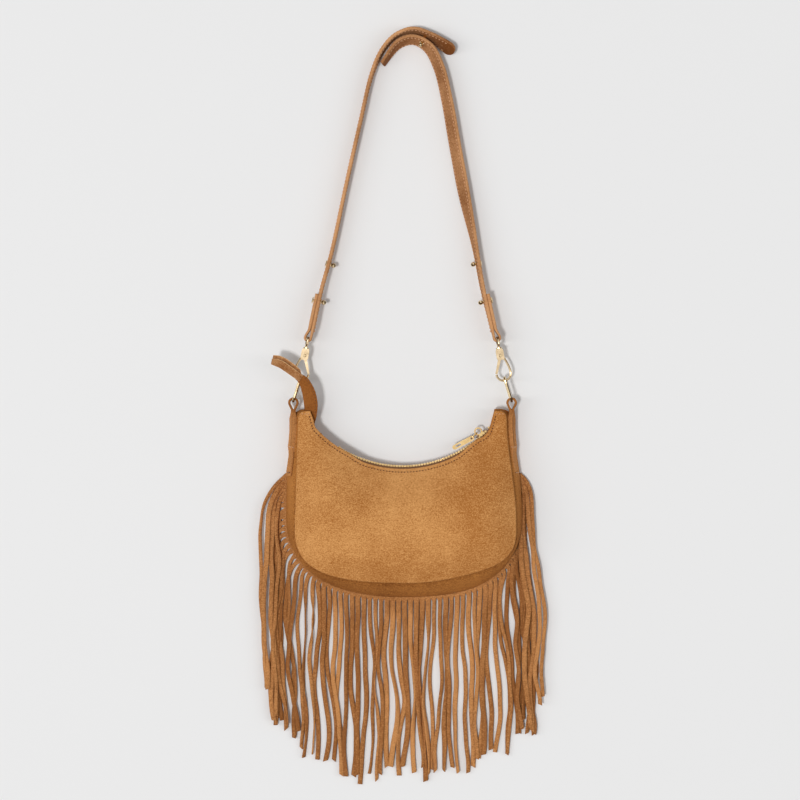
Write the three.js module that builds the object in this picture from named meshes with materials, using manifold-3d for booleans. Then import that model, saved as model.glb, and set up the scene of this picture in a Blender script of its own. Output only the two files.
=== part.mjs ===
// Fringed suede shoulder bag, lying on its back with its strap laid out.
// Millimetres: X across the bag, Y from the fringe towards the strap, Z up from the table.
import * as THREE from 'three';
import { mergeVertices } from 'three/addons/utils/BufferGeometryUtils.js';
import loadManifold from 'manifold-3d';

const { Vector2, Vector3, CatmullRomCurve3 } = THREE;
const wasm = await loadManifold();
wasm.setup();
const { Manifold, Mesh: SolidMesh } = wasm;

// Driving dimensions
const GAP = 0.3; // clearance between pieces that touch
const TABLE_GAP = 0.1; // soft pieces that lie on the table

// Bag body
const SUEDE = 2.4; // panel and gusset thickness
const TOP_Y = 119; // top of the two corners
const CORNER_ROUND = 7;
const BACK = { corner: 110, side: 119, sideY: 14, bottomY: -66.5, sidePull: 55, bottomPull: 75 };
const FRONT = { corner: 103, side: 107.5, sideY: 0, bottomY: -51, sidePull: 40, bottomPull: 75 };
const SEAM_TOP_Z = 27; // front seam height at the corners and the mouth
const SEAM_LOW_Z = 36; // front seam height along the bottom
const PUFF = 17; // how far the front panel domes above its seam
const RIM_ROLL = 42; // width of the domed border along the seam
const MOUTH_ROLL = 60; // width of the domed border along the mouth

// Mouth and zip, on a circular arc
const MOUTH_HALF = 92; // half width between the corners
const MOUTH_RADIUS = 118;
const MOUTH_BOTTOM_Y = 63;
const MOUTH_ANGLE = THREE.MathUtils.degToRad(48); // half angle of the arc
const TAPE = 1.0; // zip tape thickness
const TAPE_EDGE = 2.0; // from the zip's middle to the corded edge of a tape
const CHAIN_SLOT = 0.7; // half width of the way between the two rows of teeth
const TOOTH = { height: 3.2, length: 2.8, width: 1.8, pitch: 4.8 };
const CHAIN_START = THREE.MathUtils.degToRad(-31.5); // angles of the first and last tooth
const CHAIN_END = THREE.MathUtils.degToRad(46.6);
const STOP = { length: 2.2, height: 4.2, half: 3.6 };
const SLIDER_ANGLE = THREE.MathUtils.degToRad(42.6);
const SLIDER = { length: 11, wide: 9.2, narrow: 5.4, plate: 1.2, clear: 0.4, post: 2.4, postThick: 0.8 };
const BAIL = { radius: 3.4, wire: 0.75 };
const LINK = { length: 8, half: 2.4, wire: 0.7, angle: THREE.MathUtils.degToRad(226) };
const PULL = { length: 24, width: 4.8, thick: 1.6, eye: 1.3, eyeInset: 2.6 };
const PULL_ANGLE = THREE.MathUtils.degToRad(208);
const PULL_SLOT = { length: 6, width: 2, inset: 3.4 };

// Fringe
const FRINGE = { thick: 1.4, inset: 4, header: 5, topY: 57, pitch: 5.8, width: 4.4, length: 186 };
const FRINGE_SIDE = { pitch: 1.9, extra: 10 }; // strips that bunch beside the bag
const FRINGE_BEND = { out: 16, least: 4, fall: 30 };

// Chain of ring, hook and swivel eye on each side
const CHAIN_Z = 16; // height of the chain above the table
const TAB = { width: 11, thick: 2.2, outer: 58, inner: 34, loop: 4.2 }; // legs below the corner, loop radius
const LOOP_X = 109.2; // middle of the leather loop
const LOOP_Y = 127.3;
const RING = { wire: 1.3, half: 9, round: 4 };
const HOOK_X = 102.5; // bottom of the hook's bow
const HOOK_Y = 149.4;
const HOOK_TILT = THREE.MathUtils.degToRad(10.5);
const BOW = { wire: 1.2, radius: 7.2 };
const HEAD = { width: 7.6, from: 21, to: 32.5, roof: 2.2, wall: 1.6, thick: 7.4, slot: 4.6, bore: 1.7 };
const RIVET = { y: 25.4, radius: 0.9, head: 1.7, cap: 0.7 };
const GATE = { thick: 2.2, wide: 3.8, eye: 2.1 };

// Strap
const STRAP = { width: 18, thick: 3.4, tail: 47, merge: 16, tip: 8 };
const EYE = {
  wire: 1.4, half: STRAP.width / 2 + 2.4, round: 3, opening: 5.2, shank: 1.35, foot: 1.9, footThick: 1.2,
};
const LEFT_ROUTE = [[-81, 241, 14], [-71.5, 276, 10.5], [-56, 348, 9.6], [-42.5, 408, 9.6], [-31, 456, 9.6],
  [-20.5, 480, 9.6], [-7, 495, 9.6], [9, 500.5, 9.6], [27, 495, 9.6], [52, 479, 9.6]];
const RIGHT_ROUTE = [[80.5, 241, 14], [72, 288, 10.5], [62, 336, 9.6], [53, 384, 9.6], [44.5, 432, 9.6],
  [36.5, 464, 9.6], [26, 483.5, 9.6], [11, 491.5, 9.6], [-4, 487, 9.6], [-20, 467, 9.6]];
const LEFT_LEAN = [[0, 0], [0.62, 0], [0.82, 24], [1, 32]]; // share of the route, degrees outwards
const RIGHT_LEAN = [[0, 0], [0.2, 6], [0.45, 34], [0.8, 30], [1, 24]];
const END_STUDS = [38, 77]; // from the swivel eye along the strap
const STUD = { base: 3.5, baseThick: 1.2, shank: 1.5, hole: 1.8, neck: 1.2, ball: 2.5 };
const TOP_STUD_SHARE = 0.912; // share of the left route

// Zip end tab
const ZIP_TAB = { width: 11, thick: 3 };
const ZIP_TAB_RISE = 21; // height of its sewn end on the corner
const ZIP_TAB_ROUTE = [[-93.5, 124.5, 28], [-97.5, 135, 31.5], [-102, 148, 32], [-112, 159.5, 31.5],
  [-128, 171, 29]];

// Finishes
const suede = { color: 0xb9804a, roughness: 0.95, metalness: 0 };
const leather = { color: 0xa8743f, roughness: 0.75, metalness: 0 };
const gold = { color: 0xd9b878, roughness: 0.25, metalness: 1 };
const cloth = { color: 0x8a5c33, roughness: 0.9, metalness: 0 };

const bag = new THREE.Group();

function add(name, geometry, finish, parent = bag) {
  const mesh = new THREE.Mesh(geometry, new THREE.MeshStandardMaterial(finish));
  mesh.name = name;
  parent.add(mesh);
  return mesh;
}

// Solids

function solid(geometry) {
  const bare = new THREE.BufferGeometry();
  bare.setAttribute('position', geometry.getAttribute('position').clone());
  if (geometry.index) bare.setIndex(geometry.index.clone());
  const merged = mergeVertices(bare, 1e-4);
  const index = [];
  for (let i = 0; i < merged.index.count; i += 3) {
    const [a, b, c] = [0, 1, 2].map((k) => merged.index.getX(i + k));
    if (a !== b && b !== c && c !== a) index.push(a, b, c);
  }
  return new Manifold(new SolidMesh({
    numProp: 3,
    vertProperties: new Float32Array(merged.getAttribute('position').array),
    triVerts: new Uint32Array(index),
  }));
}

function geometryOf(body) {
  const mesh = body.getMesh();
  const geometry = new THREE.BufferGeometry();
  geometry.setAttribute('position', new THREE.BufferAttribute(mesh.vertProperties, 3));
  geometry.setIndex(new THREE.BufferAttribute(mesh.triVerts, 1));
  return geometry;
}

const plain = (body) => geometryOf(body.asOriginal().simplify(0.002));
const join = (...geometries) => plain(Manifold.union(geometries.map(solid)));
const cut = (geometry, ...tools) => plain(Manifold.difference([geometry, ...tools].map(solid)));

// A closed solid through equal rings of points, capped at both ends.
function loft(rings) {
  const sides = rings[0].length;
  const index = [];
  for (let i = 0; i + 1 < rings.length; i += 1) {
    for (let k = 0; k < sides; k += 1) {
      const a = i * sides + k;
      const b = i * sides + (k + 1) % sides;
      index.push(a, b, b + sides, a, b + sides, a + sides);
    }
  }
  const last = (rings.length - 1) * sides;
  for (let k = 1; k + 1 < sides; k += 1) {
    index.push(0, k + 1, k, last, last + k, last + k + 1);
  }
  return shell(rings.flat(), index);
}

// A closed skin over points, turned so that it faces out.
function shell(points, index) {
  let volume = 0;
  for (let i = 0; i < index.length; i += 3) {
    const [a, b, c] = [index[i], index[i + 1], index[i + 2]].map((k) => points[k]);
    volume += a.dot(b.clone().cross(c));
  }
  const geometry = new THREE.BufferGeometry().setFromPoints(points);
  geometry.setIndex(volume > 0 ? index : index.reverse());
  return geometry;
}

// A closed slab over quads of nodes that each pair a low point with a high one.
function slab(quads) {
  const nodes = [...new Set(quads.flat())];
  const ids = new Map(nodes.map((node, i) => [node, i]));
  const up = nodes.length;
  const index = [];
  const rims = new Map();
  for (const quad of quads) {
    const [a, b, c, d] = quad.map((node) => ids.get(node));
    index.push(a + up, b + up, c + up, a + up, c + up, d + up, c, b, a, d, c, a);
    for (const [p, q] of [[a, b], [b, c], [c, d], [d, a]]) {
      if (!rims.delete(`${q}-${p}`)) rims.set(`${p}-${q}`, [p, q]);
    }
  }
  for (const [p, q] of rims.values()) index.push(p, q, q + up, p, q + up, p + up);
  return shell([...nodes.map(({ low }) => low), ...nodes.map(({ high }) => high)], index);
}

const gridQuads = (grid) => grid.slice(1).flatMap((row, i) => row.slice(1)
  .map((node, j) => [grid[i][j], row[j], node, grid[i][j + 1]]));

// A flat band: each station has a point, a width direction and a face normal.
function band(stations, width, thick) {
  return loft(stations.map(({ point, across, normal, share = 1 }) => {
    const w = across.clone().multiplyScalar((width * share) / 2);
    const n = normal.clone().multiplyScalar(thick / 2);
    return [[1, 1], [-1, 1], [-1, -1], [1, -1]].map(([a, b]) => point.clone()
      .addScaledVector(w, a).addScaledVector(n, b));
  }));
}

// A round wire along an open curve.
function wire(curve, radius, steps, sides = 10) {
  const circle = new THREE.Shape();
  circle.absarc(0, 0, radius, 0, Math.PI * 2);
  const options = { extrudePath: curve, steps, curveSegments: sides / 2, bevelEnabled: false };
  return new THREE.ExtrudeGeometry(circle, options);
}

// A closed link of round wire: a rounded rectangle in the plane of two directions.
function link(halfU, halfV, round, radius, place, steps = 40, sides = 8) {
  const outline = new THREE.Shape();
  outline.moveTo(halfU, -halfV + round);
  outline.lineTo(halfU, halfV - round);
  outline.absarc(halfU - round, halfV - round, round, 0, Math.PI / 2);
  outline.lineTo(-halfU + round, halfV);
  outline.absarc(-halfU + round, halfV - round, round, Math.PI / 2, Math.PI);
  outline.lineTo(-halfU, -halfV + round);
  outline.absarc(-halfU + round, -halfV + round, round, Math.PI, Math.PI * 1.5);
  outline.lineTo(halfU - round, -halfV);
  outline.absarc(halfU - round, -halfV + round, round, Math.PI * 1.5, Math.PI * 2);
  const points = outline.getSpacedPoints(steps).slice(0, -1).map(place);
  return new THREE.TubeGeometry(new CatmullRomCurve3(points, true), steps, radius, sides, true);
}

function rod(radius, from, to, sides = 14) {
  const length = from.distanceTo(to);
  const geometry = new THREE.CylinderGeometry(radius, radius, length, sides);
  const direction = to.clone().sub(from).normalize();
  const turn = new THREE.Quaternion().setFromUnitVectors(new Vector3(0, 1, 0), direction);
  return geometry.applyQuaternion(turn).translate(...from.clone().add(to).multiplyScalar(0.5));
}

function box(x0, x1, y0, y1, z0, z1) {
  const block = new THREE.BoxGeometry(x1 - x0, y1 - y0, z1 - z0);
  return block.translate((x0 + x1) / 2, (y0 + y1) / 2, (z0 + z1) / 2);
}

const ease = (t) => THREE.MathUtils.smoothstep(t, 0, 1);
const lerp = THREE.MathUtils.lerp;

function along(table, share) {
  const next = Math.max(1, table.findIndex(([s]) => s >= share));
  const [[s0, v0], [s1, v1]] = [table[next - 1], table[next]];
  return lerp(v0, v1, ease((share - s0) / (s1 - s0)));
}

// Outlines of the body

const MOUTH_CENTRE_Y = MOUTH_BOTTOM_Y + MOUTH_RADIUS;
const onMouth = (angle, radius = MOUTH_RADIUS) => new Vector2(
  radius * Math.sin(angle),
  MOUTH_CENTRE_Y - radius * Math.cos(angle),
);

// Right half of a panel's sewn rim, from the mouth corner over the top and down to the bottom centre.
function halfRim(panel) {
  const path = new THREE.Path();
  const sideLow = panel.sideY + panel.sidePull;
  path.moveTo(MOUTH_HALF, TOP_Y);
  path.lineTo(panel.corner - CORNER_ROUND, TOP_Y);
  path.quadraticCurveTo(panel.corner, TOP_Y, panel.corner, TOP_Y - CORNER_ROUND);
  path.bezierCurveTo(panel.corner, lerp(TOP_Y, sideLow, 0.5), panel.side, sideLow, panel.side, panel.sideY);
  const sideHigh = panel.sideY - panel.sidePull;
  path.bezierCurveTo(panel.side, sideHigh, panel.bottomPull, panel.bottomY, 0, panel.bottomY);
  return path;
}

const flip = (points) => points.map((p) => new Vector2(-p.x, p.y));

// Whole rim from the right mouth corner round the bottom to the left one, with outward normals.
function rim(panel, half) {
  const right = halfRim(panel).getSpacedPoints(half);
  const points = [...right, ...flip(right.slice(0, -1)).reverse()];
  return points.map((point, i) => {
    const before = points[Math.max(0, i - 1)];
    const after = points[Math.min(points.length - 1, i + 1)];
    const t = after.clone().sub(before).normalize();
    return { point, out: new Vector2(-t.y, t.x) };
  });
}

function mouthPoints(steps) {
  const points = [new Vector2(-MOUTH_HALF, TOP_Y)];
  for (let i = 0; i <= steps; i += 1) points.push(onMouth(lerp(-MOUTH_ANGLE, MOUTH_ANGLE, i / steps)));
  points.push(new Vector2(MOUTH_HALF, TOP_Y));
  return points;
}

const seamZ = (y) => lerp(SEAM_LOW_Z, SEAM_TOP_Z, ease((y - FRONT.sideY) / (TOP_Y - FRONT.sideY)));

// Panels and gusset

function backPanel() {
  const outline = [...rim(BACK, 20).map(({ point }) => point), ...mouthPoints(20).slice(1, -1)];
  const plate = new THREE.ExtrudeGeometry(new THREE.Shape(outline), { depth: SUEDE, bevelEnabled: false });
  return plate;
}

function distanceTo(points, p) {
  let best = Infinity;
  for (let i = 0; i + 1 < points.length; i += 1) {
    const side = points[i + 1].clone().sub(points[i]);
    const t = THREE.MathUtils.clamp(p.clone().sub(points[i]).dot(side) / side.lengthSq(), 0, 1);
    best = Math.min(best, points[i].clone().addScaledVector(side, t).distanceTo(p));
  }
  return best;
}

const crown = (t) => 1 - (1 - Math.min(t, 1)) ** 2;
const mouthLine = mouthPoints(30);
const awayFromMouth = (p) => crown(distanceTo(mouthLine, p) / MOUTH_ROLL);
const seamAt = (p) => lerp(SEAM_TOP_Z, seamZ(p.y), awayFromMouth(p));

function heightAt(x, rising, points) {
  for (let i = 0; i + 1 < points.length; i += 1) {
    const [a, b] = rising ? [points[i], points[i + 1]] : [points[i + 1], points[i]];
    if (x >= a.x && x <= b.x && b.x > a.x) return lerp(a.y, b.y, (x - a.x) / (b.x - a.x));
  }
  return points[points.length - 1].y;
}

// The front panel is a domed sheet over columns that run from the bottom seam to the mouth or corner.
function frontPanel(rows = 8) {
  const half = halfRim(FRONT).getSpacedPoints(90);
  const widest = half.reduce((best, p, i) => (p.x > half[best].x ? i : best), 0);
  const upper = half.slice(0, widest + 1);
  const lower = half.slice(widest);
  const seam = [...half, ...flip(half.slice(0, -1)).reverse()];
  const mouthEnd = onMouth(MOUTH_ANGLE);
  const top = (x) => {
    if (x <= mouthEnd.x) return MOUTH_CENTRE_Y - Math.sqrt(MOUTH_RADIUS ** 2 - x * x);
    if (x <= MOUTH_HALF) return lerp(mouthEnd.y, TOP_Y, (x - mouthEnd.x) / (MOUTH_HALF - mouthEnd.x));
    return heightAt(x, true, upper);
  };
  const low = (x) => heightAt(x, false, lower);
  const edge = FRONT.side - GAP;
  const halves = [0, 0.18, 0.36, 0.53, 0.69, 0.83, 0.93].map((share) => share * mouthEnd.x);
  halves.push(mouthEnd.x, MOUTH_HALF, FRONT.corner - CORNER_ROUND, FRONT.corner - 1.5);
  halves.push(...[0.3, 0.6, 0.85, 1].map((share) => lerp(FRONT.corner, edge, share)));
  const columns = [...halves.slice(1).map((x) => -x).reverse(), ...halves];

  const place = (x, v) => {
    const p = new Vector2(x, lerp(low(Math.abs(x)), top(Math.abs(x)), v));
    const dome = PUFF * crown(distanceTo(seam, p) / RIM_ROLL) * awayFromMouth(p);
    const inside = new Vector3(p.x, p.y, seamAt(p) + dome);
    return { low: inside, high: inside.clone().setZ(inside.z + SUEDE) };
  };
  const rowShare = (j) => (1 - Math.cos((Math.PI * j) / rows)) / 2;
  const column = (x) => Array.from({ length: rows + 1 }, (_, j) => place(x, rowShare(j)));
  return slab(gridQuads(columns.map(column)));
}

const BACK_SEAM_Z = SUEDE + GAP;
const FRINGE_SEAM_Z = BACK_SEAM_Z + FRINGE.thick + GAP;
const gussetBackZ = (y) => lerp(FRINGE_SEAM_Z, BACK_SEAM_Z, ease((y - FRINGE.topY - 2) / 10));

function gusset(half = 24) {
  const back = rim(BACK, half);
  const front = rim(FRONT, half);
  const ring = (i) => {
    const lift = ({ point, out }, z, inset) => {
      const p = point.clone().addScaledVector(out, -inset);
      return new Vector3(p.x, p.y, z);
    };
    const backZ = gussetBackZ(back[i].point.y);
    const frontZ = seamAt(front[i].point) - GAP;
    return [
      lift(back[i], backZ, 0),
      lift(front[i], frontZ, 0),
      lift(front[i], frontZ, SUEDE),
      lift(back[i], backZ, SUEDE),
    ];
  };
  return loft(back.map((_, i) => ring(i)));
}

// A point on the gusset's outer face at a height above the table, with its upward and outward directions.
function onGusset(y, z, sign) {
  const xOf = (panel) => heightAt(y, true, halfRim(panel).getSpacedPoints(90).slice(12).reverse()
    .map((p) => new Vector2(p.y, p.x)));
  const low = gussetBackZ(y);
  const high = seamAt(new Vector2(xOf(FRONT), y)) - GAP;
  const share = (z - low) / (high - low);
  const rise = new Vector3(sign * (xOf(FRONT) - xOf(BACK)), 0, high - low);
  const point = new Vector3(sign * lerp(xOf(BACK), xOf(FRONT), share), y, z);
  const across = rise.normalize();
  return { point, across, out: new Vector3(sign * across.z, 0, -sign * across.x) };
}

// Fringe

function fringe() {
  const seam = rim(BACK, 220).filter(({ point }) => point.y <= FRINGE.topY);
  const run = [0];
  for (let i = 1; i < seam.length; i += 1) run.push(run[i - 1] + seam[i].point.distanceTo(seam[i - 1].point));
  const total = run[run.length - 1];
  const at = (distance) => {
    const i = Math.max(1, run.findIndex((r) => r >= distance - 1e-6));
    const share = (distance - run[i - 1]) / (run[i] - run[i - 1]);
    return {
      point: seam[i - 1].point.clone().lerp(seam[i].point, share),
      out: seam[i - 1].out.clone().lerp(seam[i].out, share).normalize(),
    };
  };
  const midZ = BACK_SEAM_Z + FRINGE.thick / 2;
  const node = (point) => ({
    low: point.clone().setZ(point.z - FRINGE.thick / 2),
    high: point.clone().setZ(point.z + FRINGE.thick / 2),
  });
  const headerEdge = (distance, out) => {
    const seamPoint = at(distance);
    const p = seamPoint.point.addScaledVector(seamPoint.out, out);
    return node(new Vector3(p.x, p.y, midZ));
  };

  const count = Math.floor(total / FRINGE.pitch);
  const pitch = total / count;
  const roots = Array.from({ length: count }, (_, i) => {
    const { point, out } = at(pitch * (i + 0.5));
    return { root: point.addScaledVector(out, FRINGE.header), out };
  });
  const hangX = roots.map(({ root }) => root.x);
  const middle = Math.floor(count / 2);
  for (let i = middle - 1; i >= 0; i -= 1) hangX[i] = Math.max(hangX[i], hangX[i + 1] + FRINGE_SIDE.pitch);
  for (let i = middle + 1; i < count; i += 1) hangX[i] = Math.min(hangX[i], hangX[i - 1] - FRINGE_SIDE.pitch);
  const bends = roots.map(({ root, out }, i) => stripBend(root, out, hangX[i]));

  const quads = [];
  const cuts = [];
  bends.forEach((bend, i) => {
    const edges = [-0.5, 0.5].map((side) => pitch * (i + 0.5) + side * FRINGE.width);
    const inner = edges.map((distance) => headerEdge(distance, -FRINGE.inset));
    const outer = edges.map((distance) => headerEdge(distance, FRINGE.header));
    quads.push([inner[0], outer[0], outer[1], inner[1]]);
    cuts.push({ inner, outer });
    const beside = [bends[i - 1], bends[i + 1]].filter(Boolean);
    let last = outer;
    for (const { point, across, width } of stripStations(bend, beside, roots[i].out, midZ)) {
      const next = [-0.5, 0.5].map((side) => node(point.clone().addScaledVector(across, side * width)));
      quads.push([last[0], next[0], next[1], last[1]]);
      last = next;
    }
  });
  for (let i = 1; i < count; i += 1) {
    quads.push([cuts[i - 1].inner[1], cuts[i - 1].outer[1], cuts[i].outer[0], cuts[i].inner[0]]);
  }
  return slab(quads);
}

// A strip leaves the seam at a right angle and bends until it falls straight.
function stripBend(root, out, hangX) {
  const aside = Math.abs(hangX - root.x) / Math.max(Math.abs(out.x), 0.2);
  const reach = THREE.MathUtils.clamp(aside, FRINGE_BEND.least, FRINGE_BEND.out);
  const turnY = root.y + out.y * reach - FRINGE_BEND.fall;
  return new THREE.CubicBezierCurve(
    root,
    root.clone().addScaledVector(out, reach),
    new Vector2(hangX, turnY + FRINGE_BEND.fall * 0.6),
    new Vector2(hangX, turnY),
  );
}

// Stations of a strip past the header; it stands on its narrow side where its neighbours crowd it.
function stripStations(bend, beside, out, rootZ) {
  const restZ = TABLE_GAP + FRINGE.thick / 2;
  const steps = Math.abs(out.x) > 0.25 ? 4 : 2;
  const stations = Array.from({ length: steps }, (_, i) => {
    const share = (i + 1) / steps;
    const p = bend.getPoint(share);
    const tangent = bend.getTangent(share);
    const across = new Vector2(tangent.y, -tangent.x);
    return {
      point: new Vector3(p.x, p.y, lerp(rootZ, restZ, ease(share))),
      across: new Vector3(across.x, across.y, 0),
      spacing: Math.min(...beside.map((other) => Math.abs(other.getPoint(share).sub(p).dot(across)))),
    };
  });
  const room = Math.min(...stations.map(({ spacing }) => spacing)) - 2 * GAP;
  stations.forEach((station) => {
    station.width = Math.min(FRINGE.width, room);
  });
  const left = FRINGE.length + FRINGE_SIDE.extra * Math.abs(out.x) - bend.getLength();
  const last = stations[steps - 1];
  stations.push({ ...last, point: last.point.clone().setY(last.point.y - left) });
  return stations;
}

// Zip

const ZIP_Z = (BACK_SEAM_Z + SEAM_TOP_Z - GAP) / 2;

// One half of the zip: a tape along the mouth with its row of teeth.
function zipHalf(sign) {
  const outerZ = sign > 0 ? SEAM_TOP_Z - GAP : BACK_SEAM_Z;
  const innerZ = ZIP_Z + sign * TAPE_EDGE;
  const points = mouthPoints(30);
  const shorten = (end, next) => end.addScaledVector(next.clone().sub(end).normalize(), SUEDE + 2 * GAP);
  shorten(points[0], points[1]);
  shorten(points[points.length - 1], points[points.length - 2]);
  const stations = points.map((p, i) => {
    const t = points[Math.min(i + 1, points.length - 1)].clone().sub(points[Math.max(i - 1, 0)]).normalize();
    return {
      point: new Vector3(p.x, p.y, (outerZ + innerZ) / 2),
      across: new Vector3(0, 0, 1),
      normal: new Vector3(t.y, -t.x, 0),
    };
  });
  const pieces = [band(stations, Math.abs(outerZ - innerZ), TAPE)];
  const count = Math.floor(((CHAIN_END - CHAIN_START) * MOUTH_RADIUS) / TOOTH.pitch);
  const shift = sign > 0 ? 0 : 0.5;
  for (let i = 0; i < count; i += 1) {
    const angle = lerp(CHAIN_START, CHAIN_END, (i + shift) / count);
    const p = onMouth(angle);
    const near = ZIP_Z + sign * CHAIN_SLOT;
    const far = near + sign * TOOTH.length;
    const block = box(-TOOTH.width / 2, TOOTH.width / 2, -TOOTH.height / 2, TOOTH.height / 2,
      Math.min(near, far), Math.max(near, far));
    pieces.push(block.rotateZ(angle).translate(p.x, p.y, 0));
  }
  return join(...pieces);
}

// A pressed metal stop that grips both tape edges: an H in section.
function zipStop() {
  const body = new THREE.BoxGeometry(STOP.length, STOP.height, 2 * STOP.half);
  const way = TAPE / 2 + 1.5 * GAP;
  const reach = STOP.length;
  const web = TAPE_EDGE - GAP;
  const tools = [1, -1].map((s) => box(-reach, reach, -way, way,
    Math.min(s * web, s * STOP.half * 2), Math.max(s * web, s * STOP.half * 2)));
  return cut(body, ...tools);
}

function onZip(angle) {
  const group = new THREE.Group();
  const p = onMouth(angle);
  group.position.set(p.x, p.y, ZIP_Z);
  group.rotation.z = angle;
  bag.add(group);
  return group;
}

const PLATE_IN = TOOTH.height / 2 + SLIDER.clear;
const PLATE_OUT = PLATE_IN + SLIDER.plate;
const BAIL_Y = PLATE_OUT + BAIL.radius - 0.6;

// The slider: two shield-shaped plates with turned lips, the post between them and the bail on top.
function slider() {
  const { length, wide, narrow } = SLIDER;
  const outline = new THREE.Shape();
  outline.moveTo(-length / 2, -narrow / 2);
  outline.lineTo(-length / 5, -wide / 2);
  outline.lineTo(length / 3, -wide / 2);
  outline.quadraticCurveTo(length / 2, -wide / 3, length / 2, 0);
  outline.quadraticCurveTo(length / 2, wide / 3, length / 3, wide / 2);
  outline.lineTo(-length / 5, wide / 2);
  outline.lineTo(-length / 2, narrow / 2);
  const options = { depth: SLIDER.plate, bevelEnabled: false, curveSegments: 5 };
  const plate = () => new THREE.ExtrudeGeometry(outline, options)
    .rotateX(Math.PI / 2);
  const lip = (y0, y1, s) => box(-length / 5, length / 3, y0, y1,
    s > 0 ? wide / 2 - 0.7 : -wide / 2, s > 0 ? wide / 2 : -wide / 2 + 0.7);
  const lipIn = TAPE / 2 + 2 * GAP;
  const pieces = [
    plate().translate(0, PLATE_OUT, 0),
    plate().translate(0, -PLATE_IN, 0),
    box(length / 2 - SLIDER.post - 1.2, length / 2 - 1.2, -PLATE_OUT + 0.3, PLATE_OUT - 0.3,
      -SLIDER.postThick / 2, SLIDER.postThick / 2),
    new THREE.TorusGeometry(BAIL.radius, BAIL.wire, 6, 18).translate(0, BAIL_Y, 0),
  ];
  for (const s of [1, -1]) {
    pieces.push(lip(lipIn, PLATE_IN + 0.2, s), lip(-PLATE_IN - 0.2, -lipIn, s));
  }
  return join(...pieces);
}

// Puller: a wire link through the bail and a flat bar with an eye and a slot.
const bailAt = onMouth(SLIDER_ANGLE, MOUTH_RADIUS - BAIL_Y);
const linkDirection = new Vector2(Math.cos(LINK.angle), Math.sin(LINK.angle));
const linkStart = bailAt.clone().addScaledVector(linkDirection, BAIL.radius - BAIL.wire - LINK.wire - GAP);
const linkEnd = linkStart.clone().addScaledVector(linkDirection, LINK.length);

function pullerLink() {
  const middle = linkStart.clone().add(linkEnd).multiplyScalar(0.5);
  return link(LINK.length / 2, LINK.half, LINK.half - 0.2, LINK.wire, ({ x, y }) => new Vector3(
    middle.x + linkDirection.x * x,
    middle.y + linkDirection.y * x,
    ZIP_Z + y,
  ), 22, 6);
}

function pullerBar() {
  const { length, width, thick, eye, eyeInset } = PULL;
  const outline = new THREE.Shape();
  const r = width / 2;
  outline.moveTo(-eyeInset + r, -r);
  outline.lineTo(length - eyeInset - r, -r);
  outline.absarc(length - eyeInset - r, 0, r, -Math.PI / 2, Math.PI / 2);
  outline.lineTo(-eyeInset + r, r);
  outline.absarc(-eyeInset + r, 0, r, Math.PI / 2, Math.PI * 1.5);
  const hole = new THREE.Path();
  hole.absarc(0, 0, eye, 0, Math.PI * 2, true);
  const far = length - eyeInset - PULL_SLOT.inset;
  const slot = new THREE.Path();
  const sr = PULL_SLOT.width / 2;
  slot.moveTo(far - sr, -sr);
  slot.absarc(far - sr, 0, sr, -Math.PI / 2, Math.PI / 2);
  slot.lineTo(far - PULL_SLOT.length + sr, sr);
  slot.absarc(far - PULL_SLOT.length + sr, 0, sr, Math.PI / 2, Math.PI * 1.5);
  outline.holes.push(hole, slot);
  return new THREE.ExtrudeGeometry(outline, { depth: thick, bevelEnabled: false, curveSegments: 5 })
    .translate(0, 0, -thick / 2).rotateZ(PULL_ANGLE).translate(linkEnd.x, linkEnd.y, ZIP_Z);
}

// Ring tab: a strip sewn to the gusset, up over the corner, round the ring and back down.
function ringTab(sign) {
  const innerOff = GAP + TAB.thick / 2;
  const outerOff = innerOff + TAB.thick + GAP;
  const legTop = TOP_Y - CORNER_ROUND;
  const leg = (y, off) => {
    const { point, across, out } = onGusset(y, CHAIN_Z, sign);
    return { point: point.clone().addScaledVector(out, off), across, normal: out };
  };
  const inner = [TAB.inner, TAB.inner * 0.66, TAB.inner * 0.33, 0].map((d) => leg(legTop - d, innerOff));
  const drops = [0, TAB.inner * 0.33, TAB.inner * 0.66, TAB.inner, TAB.outer - 6, TAB.outer];
  const outer = drops.map((d) => leg(legTop - d, outerOff));
  const centre = new Vector3(sign * LOOP_X, LOOP_Y, CHAIN_Z);
  const loop = [];
  for (let i = 0; i <= 12; i += 1) {
    const angle = lerp(-0.5, Math.PI + 0.5, i / 12);
    const normal = new Vector3(-sign * Math.cos(angle), Math.sin(angle), 0);
    loop.push({
      point: centre.clone().addScaledVector(normal, TAB.loop),
      across: new Vector3(0, 0, 1),
      normal,
    });
  }
  const neck = (side) => ({
    point: new Vector3(sign * (LOOP_X + side * (TAB.thick / 2 + GAP)), LOOP_Y - 1.6 * TAB.loop, CHAIN_Z),
    across: new Vector3(0, 0, 1),
    normal: new Vector3(sign * side, 0, 0),
  });
  inner.forEach((s) => s.normal.negate());
  const stations = [...inner, neck(-1), ...loop, neck(1), ...outer];
  stations.forEach((s) => s.normal.normalize());
  return band(sign > 0 ? stations : stations.reverse(), TAB.width, TAB.thick);
}

// Oval ring between the leather loop and the bow of the hook.
function ovalRing(sign) {
  const seat = TAB.loop - TAB.thick / 2 - GAP - RING.wire;
  const low = new Vector2(sign * LOOP_X, LOOP_Y + seat);
  const lift = 2 * GAP + BOW.wire + RING.wire;
  const high = new Vector2(sign * (HOOK_X - lift * Math.sin(HOOK_TILT)), HOOK_Y + lift * Math.cos(HOOK_TILT));
  const direction = high.clone().sub(low);
  const middle = low.clone().add(high).multiplyScalar(0.5);
  const halfLength = direction.length() / 2;
  direction.normalize();
  return link(halfLength, RING.half, RING.round, RING.wire, ({ x, y }) => new Vector3(
    middle.x + direction.x * x,
    middle.y + direction.y * x,
    CHAIN_Z + y,
  ), 26, 7);
}

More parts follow.
